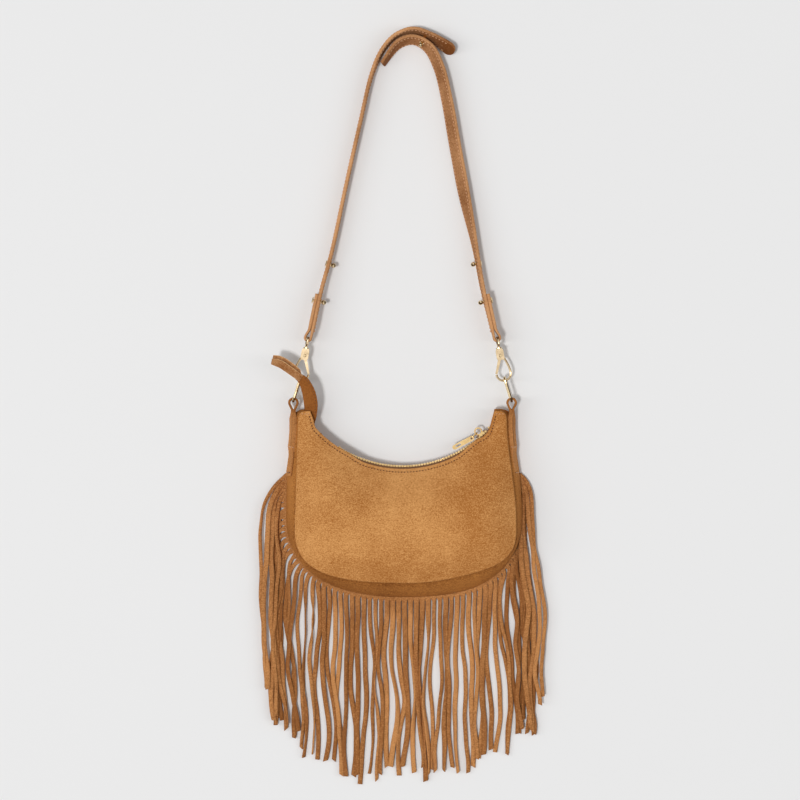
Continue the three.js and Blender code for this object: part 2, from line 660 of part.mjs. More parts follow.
// Swivel snap hook, built along +Y with the bottom of its bow at the origin and its spine on the outer side.
const SLOT_TOP = HEAD.to - HEAD.roof;
const COLLAR_TOP = HEAD.to + 1.2;
const EYE_LOW = COLLAR_TOP + GAP + EYE.wire;
const EYE_BAR = EYE_LOW + EYE.opening + 2 * EYE.wire;

function hookFrame(sign) {
  const w = HEAD.width / 2;
  const route = [];
  for (let i = 0; i <= 8; i += 1) {
    const angle = Math.PI * (1 + i / 8);
    route.push(new Vector3(sign * BOW.radius * Math.cos(angle), BOW.radius * (1 + Math.sin(angle)), 0));
  }
  const shoulder = new Vector3(sign * (w - 0.4), HEAD.from + 1.5, 0);
  route.push(new Vector3(sign * BOW.radius * 0.9, lerp(BOW.radius, shoulder.y, 0.4), 0));
  route.push(shoulder);

  const head = new THREE.Shape();
  head.moveTo(-w * 0.8, HEAD.from);
  head.lineTo(w * 0.8, HEAD.from);
  head.lineTo(w, HEAD.from + 2);
  head.lineTo(w, HEAD.to - 3);
  head.quadraticCurveTo(w, HEAD.to, w * 0.5, HEAD.to);
  head.lineTo(-w * 0.5, HEAD.to);
  head.quadraticCurveTo(-w, HEAD.to, -w, HEAD.to - 3);
  head.lineTo(-w, HEAD.from + 2);
  const block = new THREE.ExtrudeGeometry(head, { depth: HEAD.thick, bevelEnabled: false, curveSegments: 4 })
    .translate(0, 0, -HEAD.thick / 2);
  const collar = rod(HEAD.bore + 1.3, new Vector3(0, HEAD.to - 1, 0), new Vector3(0, COLLAR_TOP, 0), 18);
  const openSide = -sign * 2 * w;
  const wallSide = sign * (w - HEAD.wall);
  const slot = box(Math.min(openSide, wallSide), Math.max(openSide, wallSide), HEAD.from - 1, SLOT_TOP,
    -HEAD.slot / 2, HEAD.slot / 2);
  const bore = rod(HEAD.bore, new Vector3(0, SLOT_TOP - 1, 0), new Vector3(0, COLLAR_TOP + 1, 0));
  const pinEnd = (z) => new Vector3(0, RIVET.y, z);
  const pin = rod(RIVET.radius + GAP, pinEnd(-HEAD.thick), pinEnd(HEAD.thick));
  const hollow = cut(join(block, collar), slot, bore, pin);
  return join(hollow, wire(new CatmullRomCurve3(route), BOW.wire, 20, 8));
}

function hookGate(sign) {
  const tip = new Vector2(-sign * BOW.radius, BOW.radius + 2 * GAP);
  const length = tip.distanceTo(new Vector2(0, RIVET.y));
  const lean = Math.atan2(tip.x, RIVET.y - tip.y);
  const half = GATE.wide / 2;
  const eye = rod(GATE.eye, new Vector3(0, 0, -half), new Vector3(0, 0, half), 18);
  const blade = new THREE.Shape();
  blade.moveTo(-GATE.thick / 2, -length);
  blade.lineTo(GATE.thick / 2, -length);
  blade.lineTo(GATE.thick * 0.7, -GATE.eye);
  blade.lineTo(GATE.thick * 0.7, 0);
  blade.lineTo(-GATE.thick * 0.7, 0);
  blade.lineTo(-GATE.thick * 0.7, -GATE.eye);
  const bar = new THREE.ExtrudeGeometry(blade, { depth: GATE.wide, bevelEnabled: false });
  bar.translate(0, 0, -half);
  const hole = rod(RIVET.radius + GAP, new Vector3(0, 0, -half - 1), new Vector3(0, 0, half + 1));
  return cut(join(eye, bar), hole).rotateZ(lean).translate(0, RIVET.y, 0);
}

function gateRivet() {
  const face = HEAD.thick / 2 + GAP;
  const end = face + RIVET.cap;
  const profile = [[0, -end], [RIVET.head * 0.6, -end], [RIVET.head, -face], [RIVET.radius, -face],
    [RIVET.radius, face], [RIVET.head, face], [RIVET.head * 0.6, end], [0, end]];
  const turned = new THREE.LatheGeometry(profile.map(([x, y]) => new Vector2(x, y)), 10);
  return turned.rotateX(Math.PI / 2).translate(0, RIVET.y, 0);
}

function swivelEye() {
  const middle = (EYE_LOW + EYE_BAR) / 2;
  const upright = ({ x, y }) => new Vector3(0, middle + x, y);
  const loop = link((EYE_BAR - EYE_LOW) / 2, EYE.half, EYE.round, EYE.wire, upright, 30, 7);
  const footTop = SLOT_TOP - GAP;
  const shank = rod(EYE.shank, new Vector3(0, footTop - EYE.footThick / 2, 0), new Vector3(0, EYE_LOW, 0));
  const foot = rod(EYE.foot, new Vector3(0, footTop - EYE.footThick, 0), new Vector3(0, footTop, 0), 18);
  return join(loop, shank, foot);
}

// Strap: each piece folds round the bar of its swivel eye and lies on its edge.
const FOLD = EYE.wire + GAP + STRAP.thick / 2;

function strapFrame(sign, route, leanTable) {
  const axis = new Vector3(-sign * Math.sin(HOOK_TILT), Math.cos(HOOK_TILT), 0);
  const outer = new Vector3(sign * Math.cos(HOOK_TILT), Math.sin(HOOK_TILT), 0);
  const bar = new Vector3(sign * HOOK_X, HOOK_Y, CHAIN_Z).addScaledVector(axis, EYE_BAR);
  const start = bar.clone().addScaledVector(outer, -FOLD);
  const points = [start, start.clone().addScaledVector(axis, 12), ...route.map((p) => new Vector3(...p))];
  const curve = new CatmullRomCurve3(points, false, 'centripetal');
  curve.arcLengthDivisions = 600;
  const length = curve.getLength();
  const at = (distance, offset = 0) => {
    const share = THREE.MathUtils.clamp(distance / length, 0, 1);
    const tangent = curve.getTangentAt(share).setZ(0).normalize();
    const level = new Vector3(sign * tangent.y, -sign * tangent.x, 0);
    const lean = THREE.MathUtils.degToRad(along(leanTable, share));
    const across = new Vector3(0, 0, Math.cos(lean)).addScaledVector(level, Math.sin(lean));
    const out = level.clone().multiplyScalar(Math.cos(lean)).setZ(-Math.sin(lean));
    return { point: curve.getPointAt(share).addScaledVector(out, offset), across, out };
  };
  return { at, bar, axis, outer, length };
}

function strap(frame, holes, tipShares) {
  const { at, bar, axis, outer, length } = frame;
  const beside = STRAP.thick + GAP;
  const tail = [1, 0.8, 0.6, 0.42, 0.28, 0.14, 0].map((share) => {
    const distance = STRAP.tail * share;
    const open = 1 - ease(distance / STRAP.merge);
    const { point, across, out } = at(distance, lerp(beside, 2 * FOLD, open));
    return { point, across, normal: out };
  });
  const fold = [1, 2, 3, 4, 5, 6].map((i) => {
    const angle = (Math.PI * i) / 7;
    const normal = outer.clone().multiplyScalar(Math.cos(angle)).addScaledVector(axis, -Math.sin(angle));
    return { point: bar.clone().addScaledVector(normal, FOLD), across: new Vector3(0, 0, 1), normal };
  });
  const steps = 26;
  const run = Array.from({ length: steps + 1 }, (_, i) => {
    const { point, across, out } = at(((length - STRAP.tip) * i) / steps);
    return { point, across, normal: out.negate() };
  });
  tipShares.forEach((share, i) => {
    const { point, across, out } = at(length - STRAP.tip + (STRAP.tip * (i + 1)) / tipShares.length);
    run.push({ point, across, normal: out.negate(), share });
  });
  return cut(band([...tail, ...fold, ...run], STRAP.width, STRAP.thick), ...holes);
}

// A ball stud: base disc, shank through the strap, neck and ball, along +Y from its base.
function stud(grip) {
  const face = grip + GAP;
  const ballY = face + STUD.neck + STUD.ball * 0.8;
  const low = -GAP - STUD.baseThick;
  const profile = [[0, low], [STUD.base - 0.5, low], [STUD.base, low + STUD.baseThick / 2], [STUD.base, -GAP],
    [STUD.shank, -GAP], [STUD.shank, face], [STUD.ball, face], [STUD.ball, face + 0.7],
    [STUD.neck, face + 0.9]];
  for (let i = 0; i <= 4; i += 1) {
    const angle = lerp(-1.0, Math.PI / 2, i / 4);
    profile.push([STUD.ball * Math.cos(angle), ballY + STUD.ball * Math.sin(angle)]);
  }
  profile[profile.length - 1][0] = 0;
  return new THREE.LatheGeometry(profile.map(([x, y]) => new Vector2(x, y)), 8);
}

function placeStud(geometry, base, direction) {
  const turn = new THREE.Quaternion().setFromUnitVectors(new Vector3(0, 1, 0), direction);
  return geometry.applyQuaternion(turn).translate(base.x, base.y, base.z);
}

function studHole(base, direction, grip) {
  const end = (reach) => base.clone().addScaledVector(direction, reach);
  return rod(STUD.hole, end(-1), end(grip + 1));
}

// Zip end tab: from the end of the zip on the left corner, over the ring and hook.
function zipTab() {
  const start = new Vector3(-MOUTH_HALF, TOP_Y + 2 * GAP + ZIP_TAB.thick / 2, ZIP_TAB_RISE);
  const route = ZIP_TAB_ROUTE.map((p) => new Vector3(...p));
  const curve = new CatmullRomCurve3([start, ...route], false, 'centripetal');
  const steps = 22;
  return band(Array.from({ length: steps + 1 }, (_, i) => {
    const tangent = curve.getTangentAt(i / steps);
    const across = i === 0 ? new Vector3(1, 0, 0) : new Vector3(tangent.y, -tangent.x, 0).normalize();
    return { point: curve.getPointAt(i / steps), across, normal: across.clone().cross(tangent).normalize() };
  }), ZIP_TAB.width, ZIP_TAB.thick);
}

// Assembly

add('back_panel', backPanel(), suede);
add('front_panel', frontPanel(), suede);
add('gusset', gusset(), suede);
add('fringe', fringe(), suede);

add('zip_tape_front', zipHalf(1), cloth);
add('zip_tape_back', zipHalf(-1), cloth);
const stopAway = (STOP.length / 2 + TOOTH.width / 2 + GAP) / MOUTH_RADIUS;
add('zip_stop_left', zipStop(), gold, onZip(CHAIN_START - stopAway));
add('zip_stop_right', zipStop(), gold, onZip(CHAIN_END + stopAway));
add('zip_slider', slider(), gold, onZip(SLIDER_ANGLE));
add('puller_link', pullerLink(), gold);
add('puller_bar', pullerBar(), gold);
add('zip_end_tab', zipTab(), suede);

const straps = {
  left: { sign: -1, frame: strapFrame(-1, LEFT_ROUTE, LEFT_LEAN), tip: [0.93, 0.74, 0.4], holes: [] },
  right: { sign: 1, frame: strapFrame(1, RIGHT_ROUTE, RIGHT_LEAN), tip: [1], holes: [] },
};

for (const [side, { sign, frame, holes }] of Object.entries(straps)) {
  add(`ring_tab_${side}`, ringTab(sign), suede);
  add(`oval_ring_${side}`, ovalRing(sign), gold);
  const hook = new THREE.Group();
  hook.position.set(sign * HOOK_X, HOOK_Y, CHAIN_Z);
  hook.rotation.z = sign * HOOK_TILT;
  bag.add(hook);
  add(`hook_frame_${side}`, hookFrame(sign), gold, hook);
  add(`hook_gate_${side}`, hookGate(sign), gold, hook);
  add(`gate_rivet_${side}`, gateRivet(), gold, hook);
  add(`swivel_eye_${side}`, swivelEye(), gold, hook);
  END_STUDS.forEach((distance, i) => {
    const doubled = distance < STRAP.tail;
    const grip = STRAP.thick * (doubled ? 2 : 1) + (doubled ? GAP : 0);
    const { point, out } = frame.at(distance);
    const base = point.clone().addScaledVector(out, grip - STRAP.thick / 2);
    const inward = out.clone().negate();
    holes.push(studHole(base, inward, grip));
    add(`end_stud_${side}_${i + 1}`, placeStud(stud(grip), base, inward), gold);
  });
}

// The top stud joins the two strap pieces where the left one lies over the right one.
const over = straps.left.frame.at(straps.left.frame.length * TOP_STUD_SHARE);
const inward = over.out.clone().negate();
const under = nearestOn(straps.right.frame, over.point);
const reach = under.point.clone().sub(over.point).dot(under.out) / inward.dot(under.out);
const topBase = over.point.clone().addScaledVector(over.out, STRAP.thick / 2);
const topGrip = reach + STRAP.thick + 2 * GAP;
for (const { holes } of Object.values(straps)) holes.push(studHole(topBase, inward, topGrip));
add('top_stud', placeStud(stud(topGrip), topBase, inward), gold);

function nearestOn(frame, point) {
  const samples = Array.from({ length: 241 }, (_, i) => frame.at((frame.length * i) / 240));
  return samples.reduce((best, s) => (s.point.distanceTo(point) < best.point.distanceTo(point) ? s : best));
}

for (const [side, { frame, holes, tip }] of Object.entries(straps)) {
  add(`strap_${side}`, strap(frame, holes, tip), leather);
}

export default bag;
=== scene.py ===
import math
import bmesh
import bpy
import numpy as np
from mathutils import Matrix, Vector, noise


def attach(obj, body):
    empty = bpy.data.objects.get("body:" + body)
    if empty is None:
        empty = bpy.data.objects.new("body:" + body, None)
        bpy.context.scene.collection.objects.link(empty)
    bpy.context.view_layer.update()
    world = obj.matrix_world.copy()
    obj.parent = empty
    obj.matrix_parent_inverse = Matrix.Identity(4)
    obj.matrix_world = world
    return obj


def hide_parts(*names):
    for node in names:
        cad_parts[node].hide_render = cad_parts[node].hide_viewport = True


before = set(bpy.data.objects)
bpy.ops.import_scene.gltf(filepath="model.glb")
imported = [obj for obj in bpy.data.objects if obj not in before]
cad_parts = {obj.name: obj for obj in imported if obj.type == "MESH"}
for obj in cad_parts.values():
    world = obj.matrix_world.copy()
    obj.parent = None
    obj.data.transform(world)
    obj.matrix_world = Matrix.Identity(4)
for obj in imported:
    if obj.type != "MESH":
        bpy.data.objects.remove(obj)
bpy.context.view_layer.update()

MM = 0.001
UP = np.array([0.0, 0.0, 1.0])
SIDES = ((-1, "left"), (1, "right"))
rng = np.random.default_rng(41)

# Sizes of the bag in millimetres: X across, Y towards the strap, Z up from the table
SUEDE = 2.4
TOP_Y = 119
CORNER_ROUND = 7
MOUTH_HALF, MOUTH_RADIUS, MOUTH_ANGLE = 92, 118, math.radians(48)
MOUTH_CENTRE = np.array([0.0, 181.0])
BACK = dict(corner=110, side=119, side_y=14, bottom_y=-66.5, side_pull=55, bottom_pull=75,
            lean=1.5, rise=-1.5, drop=2.0)
FRONT = dict(corner=103, side=109, side_y=0, bottom_y=-51, side_pull=40, bottom_pull=75,
             lean=3.0, rise=4.5, drop=0.0)
SEAM_TOP_Z, SEAM_LOW_Z, PUFF, RIM_ROLL, MOUTH_ROLL = 27, 36, 17, 42, 60
BACK_SEAM_Z, FRINGE_SEAM_Z, ZIP_Z = 2.7, 4.4, 14.7


# Shader sums

class Wire:
    """One output of a node tree that can stand in a Python sum."""

    def __init__(self, nodes, socket):
        self.nodes = nodes
        self.socket = socket

    def sum(self, operation, other, turned=False):
        first, second = (other, self) if turned else (self, other)
        return self.nodes.node("Math", {"operation": operation}, {0: first, 1: second})

    def __add__(self, other):
        return self.sum("ADD", other)

    def __sub__(self, other):
        return self.sum("SUBTRACT", other)

    def __rsub__(self, other):
        return self.sum("SUBTRACT", other, turned=True)

    def __mul__(self, other):
        return self.sum("MULTIPLY", other)

    __radd__ = __add__
    __rmul__ = __mul__


class Nodes:
    """A node tree whose nodes all come from one method."""

    def __init__(self, tree):
        self.tree = tree

    def put(self, socket, value):
        if isinstance(value, Wire):
            self.tree.links.new(value.socket, socket)
        else:
            socket.default_value = value

    def node(self, kind, settings=None, inputs=None, out=0):
        node = self.tree.nodes.new("ShaderNode" + kind)
        for key, value in (settings or {}).items():
            setattr(node, key, value)
        for key, value in (inputs or {}).items():
            self.put(node.inputs[key], value)
        return Wire(self, node.outputs[out])


class Finish(Nodes):
    """A material of one principled shader."""

    def __init__(self, name):
        self.material = bpy.data.materials.new(name)
        self.material.use_nodes = True
        super().__init__(self.material.node_tree)
        self.shader = self.tree.nodes["Principled BSDF"]

    def place(self):
        return self.node("TexCoord", out="Object")

    def grain(self, place, size, detail=2.0, rough=0.5):
        """Noise of about that feature size in millimetres."""
        values = {"Vector": place, "Scale": 1 / (size * MM), "Detail": detail, "Roughness": rough}
        return self.node("TexNoise", inputs=values)

    def ribs(self, place, direction, scale, distortion=0.0):
        values = {"Vector": place, "Scale": scale, "Distortion": distortion}
        return self.node("TexWave", {"bands_direction": direction}, values)

    def stretch(self, place, x, y, z):
        return self.node("VectorMath", {"operation": "MULTIPLY"}, {0: place, 1: (x, y, z)})

    def blend(self, share, low, high):
        """Share 0 gives the low colour and share 1 the high one."""
        values = {0: share, 6: (*low, 1), 7: (*high, 1)}
        return self.node("Mix", {"data_type": "RGBA"}, values, out=2)

    def bump(self, height, depth, strength):
        values = {"Height": height, "Distance": depth * MM, "Strength": strength}
        return self.node("Bump", inputs=values)

    def set(self, **values):
        """Fills the shader's sockets, such as base_color, and gives the material."""
        for key, value in values.items():
            socket = self.shader.inputs[key.replace("_", " ").title().replace("Ior", "IOR")]
            if isinstance(value, tuple) and socket.type == "RGBA":
                value = (*value, 1)
            self.put(socket, value)
        return self.material


def colour(r, g, b):
    """A screen colour of 0 to 255 as the linear colour that shaders take."""
    return tuple(((c / 255 + 0.055) / 1.055) ** 2.4 if c > 10 else c / 255 / 12.92
                 for c in (r, g, b))


def suede(name, dark, light, toned=True, mottle=1.0, grain=1.0):
    """Brushed split leather: soft patches, short nap, flecks and the tone stored on its piece."""
    finish = Finish(name)
    place = finish.place()
    patches = finish.grain(place, size=52, detail=3, rough=0.55)
    brushed = finish.grain(finish.stretch(place, 1.0, 2.2, 1.4), size=7, detail=3, rough=0.6)
    nap = finish.grain(finish.stretch(place, 1.0, 1.5, 1.0), size=1.9, detail=3, rough=0.65)
    fleck = finish.grain(place, size=0.8, detail=2, rough=0.6)
    speckle = (nap - 0.5) * (2.0 * grain) + (fleck - 0.5) * (2.7 * grain)
    share = 0.5 + (patches - 0.5) * (1.3 * mottle) + (brushed - 0.5) * 0.5 + speckle
    if toned:
        tone = finish.node("Attribute", {"attribute_name": "tone"}, out="Fac")
        share = share + (tone - 0.5) * 0.8
    height = nap * 0.7 + fleck * 0.5 + brushed * 0.3
    return finish.set(
        base_color=finish.blend(share, colour(*dark), colour(*light)),
        roughness=0.94,
        normal=finish.bump(height, depth=0.55, strength=0.6),
        sheen_weight=0.18,
        sheen_roughness=0.55,
        sheen_tint=colour(*light),
        specular_ior_level=0.2)


def gold(name, deep, pale, roughness):
    """Plated metal with faint wear in its polish."""
    finish = Finish(name)
    place = finish.place()
    cloud = finish.grain(place, size=7, detail=3, rough=0.6)
    scuff = finish.grain(finish.stretch(place, 1, 6, 6), size=1.2, detail=2, rough=0.5)
    return finish.set(
        base_color=finish.blend(cloud, colour(*deep), colour(*pale)),
        metallic=1.0,
        roughness=roughness + (cloud - 0.5) * 0.12 + (scuff - 0.5) * 0.12,
        normal=finish.bump(scuff, depth=0.04, strength=0.3))


def thread(name, dark, light):
    """Twisted sewing thread."""
    finish = Finish(name)
    ply = finish.ribs(finish.place(), "DIAGONAL", 900.0, distortion=1.0)
    return finish.set(
        base_color=finish.blend(ply, colour(*dark), colour(*light)),
        roughness=0.7,
        normal=finish.bump(ply, depth=0.1, strength=0.5))


def woven(name, dark, light):
    """Fine twill of the zip tape."""
    finish = Finish(name)
    place = finish.place()
    weave = finish.ribs(place, "Z", 480.0) * 0.5 + finish.ribs(place, "DIAGONAL", 420.0) * 0.5
    return finish.set(
        base_color=finish.blend(weave, colour(*dark), colour(*light)),
        roughness=0.85,
        normal=finish.bump(weave, depth=0.2, strength=0.6))


PANEL_SUEDE = suede("panel_suede", (164, 102, 44), (218, 159, 96))
# Painted shade: the gusset's suede is a darker copy of the panel's leather
SHADED_GUSSET_SUEDE = suede("gusset_shaded_suede", (120, 67, 22), (184, 121, 58))
FRINGE_SUEDE = suede("fringe_suede", (140, 86, 42), (204, 144, 88), mottle=0.8)
STRAP_SUEDE = suede("strap_suede", (118, 66, 24), (210, 156, 108), grain=0.45)
LOOP_SUEDE = suede("ring_tab_suede", (134, 80, 34), (206, 144, 86), grain=0.5)
FLAP_SUEDE = suede("zip_flap_suede", (132, 76, 30), (234, 186, 134), grain=0.4)
# Painted shade: a darker copy of the tab's suede for the riser, which faces away from the light
SHADED_TAB_SUEDE = suede("zip_tab_shaded_suede", (112, 60, 18), (164, 102, 46), toned=False, grain=0.6)
THREAD = thread("dark_tan_thread", (84, 42, 12), (120, 68, 26))
PALE_THREAD = thread("pale_tan_thread", (192, 140, 98), (224, 178, 138))
# A darker copy of the pale gold for the hooks and swivels: painted dark reflections
SHADED_HOOK_GOLD = gold("hook_shaded_gold", (200, 170, 128), (238, 216, 180), 0.18)
PALE_GOLD = gold("pale_gold", (226, 194, 142), (250, 230, 190), 0.13)
ZIP_GOLD = gold("zip_gold", (222, 182, 116), (250, 220, 164), 0.15)
TAPE_CLOTH = woven("tape_cloth", (118, 74, 36), (168, 114, 66))


# Lines and outlines

def lerp(a, b, t):
    return a + (b - a) * t


def ramp(value, start, end):
    """0 at start, 1 at end, smooth between them and level beyond; end may be the smaller."""
    t = np.clip((value - start) / (end - start), 0, 1)
    return t * t * (3 - 2 * t)


def window(value, low, high, soft):
    """1 between low and high, falling to 0 over a soft width at either end."""
    opens = ramp(value, low - soft / 2, low + soft / 2)
    return opens * ramp(value, high + soft / 2, high - soft / 2)


def crown(t):
    return 1 - (1 - np.minimum(t, 1)) ** 2


def ripple(x, y, seed):
    return noise.noise(Vector((x, y, seed)))


def unit(v):
    return v / np.linalg.norm(v, axis=-1, keepdims=True)


def travelled(points):
    """The distance along a line of points at each of them."""
    return np.concatenate([[0], np.cumsum(np.linalg.norm(np.diff(points, axis=0), axis=1))])


def part_way(distance, run, table):
    """What a table of rows says at a distance, where run is the distance of each row."""
    return np.array([np.interp(distance, run, column) for column in table.T])


def evenly(points, steps):
    """steps + 1 points at equal distances along a line of points."""
    points = np.asarray(points, float)
    run = travelled(points)
    return part_way(np.linspace(0, run[-1], steps + 1), run, points).T


def bezier(*points, steps=40):
    t = np.linspace(0, 1, steps + 1)[:, None]
    points = [np.asarray(p, float) for p in points]
    while len(points) > 1:
        points = [lerp(a, b, t) for a, b in zip(points, points[1:])]
    return points[0]


def through(points, per=24):
    """A smooth line through points, tighter where they are closer."""
    points = np.asarray(points, float)
    points = np.vstack([2 * points[0] - points[1], points, 2 * points[-1] - points[-2]])
    line = []
    for p0, p1, p2, p3 in zip(points, points[1:], points[2:], points[3:]):
        spans = [np.linalg.norm(b - a) ** 0.5 for a, b in ((p0, p1), (p1, p2), (p2, p3))]
        t = np.concatenate([[0], np.cumsum(spans)])
        for u in np.linspace(t[1], t[2], per, endpoint=False):
            a1 = lerp(p0, p1, (u - t[0]) / (t[1] - t[0]))
            a2 = lerp(p1, p2, (u - t[1]) / (t[2] - t[1]))
            a3 = lerp(p2, p3, (u - t[2]) / (t[3] - t[2]))
            b1 = lerp(a1, a2, (u - t[0]) / (t[2] - t[0]))
            b2 = lerp(a2, a3, (u - t[1]) / (t[3] - t[1]))
            line.append(lerp(b1, b2, (u - t[1]) / (t[2] - t[1])))
    line.append(points[-2])
    return np.array(line)


def half_rim(panel):
    """A panel's sewn edge from the right mouth corner down to the middle of the bottom."""
    corner, side, side_y = panel["corner"], panel["side"], panel["side_y"]
    pull, bottom_pull, bottom_y = panel["side_pull"], panel["bottom_pull"], panel["bottom_y"]
    flat, below = corner - CORNER_ROUND, TOP_Y - CORNER_ROUND
    upper = side_y + pull
    return np.vstack([
        np.array([[MOUTH_HALF, TOP_Y], [flat, TOP_Y]], float),
        bezier((flat, TOP_Y), (corner, TOP_Y), (corner, below))[1:],
        bezier((corner, below), (corner, (TOP_Y + upper) / 2), (side, upper), (side, side_y))[1:],
        bezier((side, side_y), (side, side_y - pull), (bottom_pull, bottom_y), (0, bottom_y))[1:],
    ])


def rim(panel, steps):
    """A panel's sewn edge from the right mouth corner round to the left one, and its outward
    directions. The body leans to the right, rises on the right and hangs at the bottom."""
    right = evenly(half_rim(panel), steps // 2)
    points = np.vstack([right, (right * [-1, 1])[-2::-1]])
    points[:, 0] += panel["lean"] * ramp(points[:, 1], 100, 20)
    points[:, 1] += panel["rise"] * ramp(points[:, 0], 10, 80) * ramp(points[:, 1], -5, -45)
    points[:, 1] -= panel["drop"] * ramp(points[:, 1], -20, -60)
    t = unit(np.gradient(points, axis=0))
    return points, np.stack([-t[:, 1], t[:, 0]], axis=1)


def on_mouth(angle):
    way = np.stack([np.sin(angle), -np.cos(angle)], axis=-1)
    return MOUTH_CENTRE + way * MOUTH_RADIUS


def mouth(steps):
    """The mouth's edge from the right corner to the left one."""
    arc = on_mouth(np.linspace(MOUTH_ANGLE, -MOUTH_ANGLE, 120))
    return evenly(np.vstack([[MOUTH_HALF, TOP_Y], arc, [-MOUTH_HALF, TOP_Y]]), steps)


def distance_to(line, points):
    """Shortest distance from each point to a line of points."""
    best = np.full(points.shape[:-1], np.inf)
    for a, b in zip(line, line[1:]):
        side = b - a
        t = np.clip(((points - a) @ side) / max(side @ side, 1e-9), 0, 1)
        best = np.minimum(best, np.linalg.norm(points - a - t[..., None] * side, axis=-1))
    return best


FRONT_SEAM = rim(FRONT, 180)[0]
MOUTH_LINE = mouth(60)


def seam_height(points):
    """Height of the seam between the front panel and the gusset, lower towards the mouth."""
    side = lerp(SEAM_LOW_Z, SEAM_TOP_Z, ramp(points[..., 1], FRONT["side_y"], TOP_Y))
    return lerp(SEAM_TOP_Z, side, crown(distance_to(MOUTH_LINE, points) / MOUTH_ROLL))


def front_height(points):
    """Outer face of the puffed front panel."""
    from_mouth = crown(distance_to(MOUTH_LINE, points) / MOUTH_ROLL)
    from_seam = crown(distance_to(FRONT_SEAM, points) / RIM_ROLL)
    return seam_height(points) + PUFF * from_seam * from_mouth + SUEDE


# Meshes

def placed(name, data):
    """A new object in the scene."""
    item = bpy.data.objects.new(name, data)
    bpy.context.scene.collection.objects.link(item)
    return item


def smooth_shaded(mesh):
    mesh.polygons.foreach_set("use_smooth", [True] * len(mesh.polygons))


def piece(name, points, faces, finish, smooth=True):
    """A piece of the bag from points in millimetres."""
    mesh = bpy.data.meshes.new(name)
    mesh.from_pydata([tuple(p) for p in np.asarray(points) * MM], [], faces)
    mesh.materials.append(finish)
    if smooth:
        smooth_shaded(mesh)
    mesh.update()
    item = placed(name, mesh)
    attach(item, "bag")
    return item


def store_tone(item, values):
    """How light or dark the suede is at each point, painted light and shade included: 0.5 leaves
    it as it is.
    """
    tone = item.data.attributes.new("tone", "FLOAT", "POINT")
    tone.data.foreach_set("value", values)


def grid_faces(rows, columns, ring=False):
    faces = []
    for i in range(rows - 1):
        low, high = i * columns, (i + 1) * columns
        for j in range(columns if ring else columns - 1):
            k = (j + 1) % columns
            faces.append((low + j, low + k, high + k, high + j))
    return faces


def tube_faces(rows, around):
    """Faces of a row of rings with a cap on each end."""
    last = (rows - 1) * around
    caps = [tuple(range(around))[::-1], tuple(range(last, last + around))]
    return grid_faces(rows, around, ring=True) + caps


def joined(parts):
    """Points and faces of several parts as one mesh."""
    points, faces, count = [], [], 0
    for p, f in parts:
        points.append(np.asarray(p, float))
        faces += [tuple(k + count for k in face) for face in f]
        count += len(p)
    return np.vstack(points), faces


def bake(item):
    """Applies the object's modifiers to its mesh."""
    graph = bpy.context.evaluated_depsgraph_get()
    mesh = bpy.data.meshes.new_from_object(item.evaluated_get(graph))
    item.modifiers.clear()
    item.data = mesh


def thicken(item, thick, offset):
    solidify = item.modifiers.new("thickness", "SOLIDIFY")
    solidify.thickness = thick * MM
    solidify.offset = offset
    bake(item)


def strip_section(width, thick, corner):
    """A flat strip's section with rounded edges, as (across, up) pairs."""
    r = min(corner, thick * 0.48)
    flat, tall = width / 2 - r, thick / 2 - r
    section = []
    for cx, cy, start in ((1, 1, 0), (-1, 1, 90), (-1, -1, 180), (1, -1, 270)):
        for angle in np.radians(np.linspace(start, start + 90, 4)):
            section.append((cx * flat + r * math.cos(angle), cy * tall + r * math.sin(angle)))
    return section


def edge_reach(width, thick, corner):
    """How far out each point of a strip's section is: 0 in the middle, 1 at the edge."""
    return [abs(a) / (width / 2) for a, n in strip_section(width, thick, corner)]


def strip(stations, corner):
    """A strip through stations of (point, across, normal, width, thick), closed at both ends."""
    rings = []
    for point, across, normal, width, thick in stations:
        section = strip_section(width, thick, corner)
        rings += [point + across * a + normal * n for a, n in section]
    return np.array(rings), tube_faces(len(stations), len(rings) // len(stations))


# Share of a stitch's length, share of its radius, and rise in radii
STITCH_RINGS = ((0, 0.35, -0.48), (0.18, 0.9, 0.0), (0.5, 1, 0.216), (0.82, 0.9, 0.0),
                (1, 0.35, -0.48))
STITCH_SIDES = 6


def stitches(name, line, up, pitch, length, radius, finish=THREAD):
    """Thread in short stitches along a line of points; up is the face's direction at each."""
    line, up = np.asarray(line, float), np.asarray(up, float)
    run = travelled(line)
    count = int(run[-1] // pitch)
    turns = np.radians(np.arange(STITCH_SIDES) * 360 / STITCH_SIDES)
    parts = []
    for i in range(count):
        middle = (i + 0.5) * run[-1] / count
        start, end = (part_way(middle + s * length / 2, run, line) for s in (-1, 1))
        top = unit(part_way(middle, run, up))
        side = unit(np.cross(unit(end - start), top))
        rings = []
        for share, size, rise in STITCH_RINGS:
            centre = lerp(start, end, share) + top * rise * radius
            rings += [centre + (side * math.cos(a) + top * math.sin(a)) * radius * size
                      for a in turns]
        parts.append((rings, tube_faces(len(STITCH_RINGS), STITCH_SIDES)))
    piece(name, *joined(parts), finish)


# Stage and camera, in metres

PALE = colour(233, 233, 233)
FLOOR_HALF, FLOOR_Z = 6, -0.0002
ROOM_LIGHT = 0.30
SUN_POWER, SUN_WIDTH, SUN_WAY = 1.45, math.radians(7), Vector((0.22, 0.17, -1))
BOX_WIDTH, BOX_LENGTH, BOX_AWAY, BOX_HEIGHT = 0.7, 3.2, 2.2, 2.7
BOX_POWERS = ((-1, 28), (1, 18))
BAG_MIDDLE = Vector((0, 0.1, 0))
WALL_RADIUS, WALL_LOW, WALL_HIGH, WALL_SIDES = 3.2, 0.12, 2.9, 24
EYE = Vector((-0.0025, 0.130, 3.4))
FILM, VIEW_WIDTH, VIEW_LEVEL = 36, 0.8, 0.02


def aimed(way):
    return way.to_track_quat("-Z", "Y").to_euler()


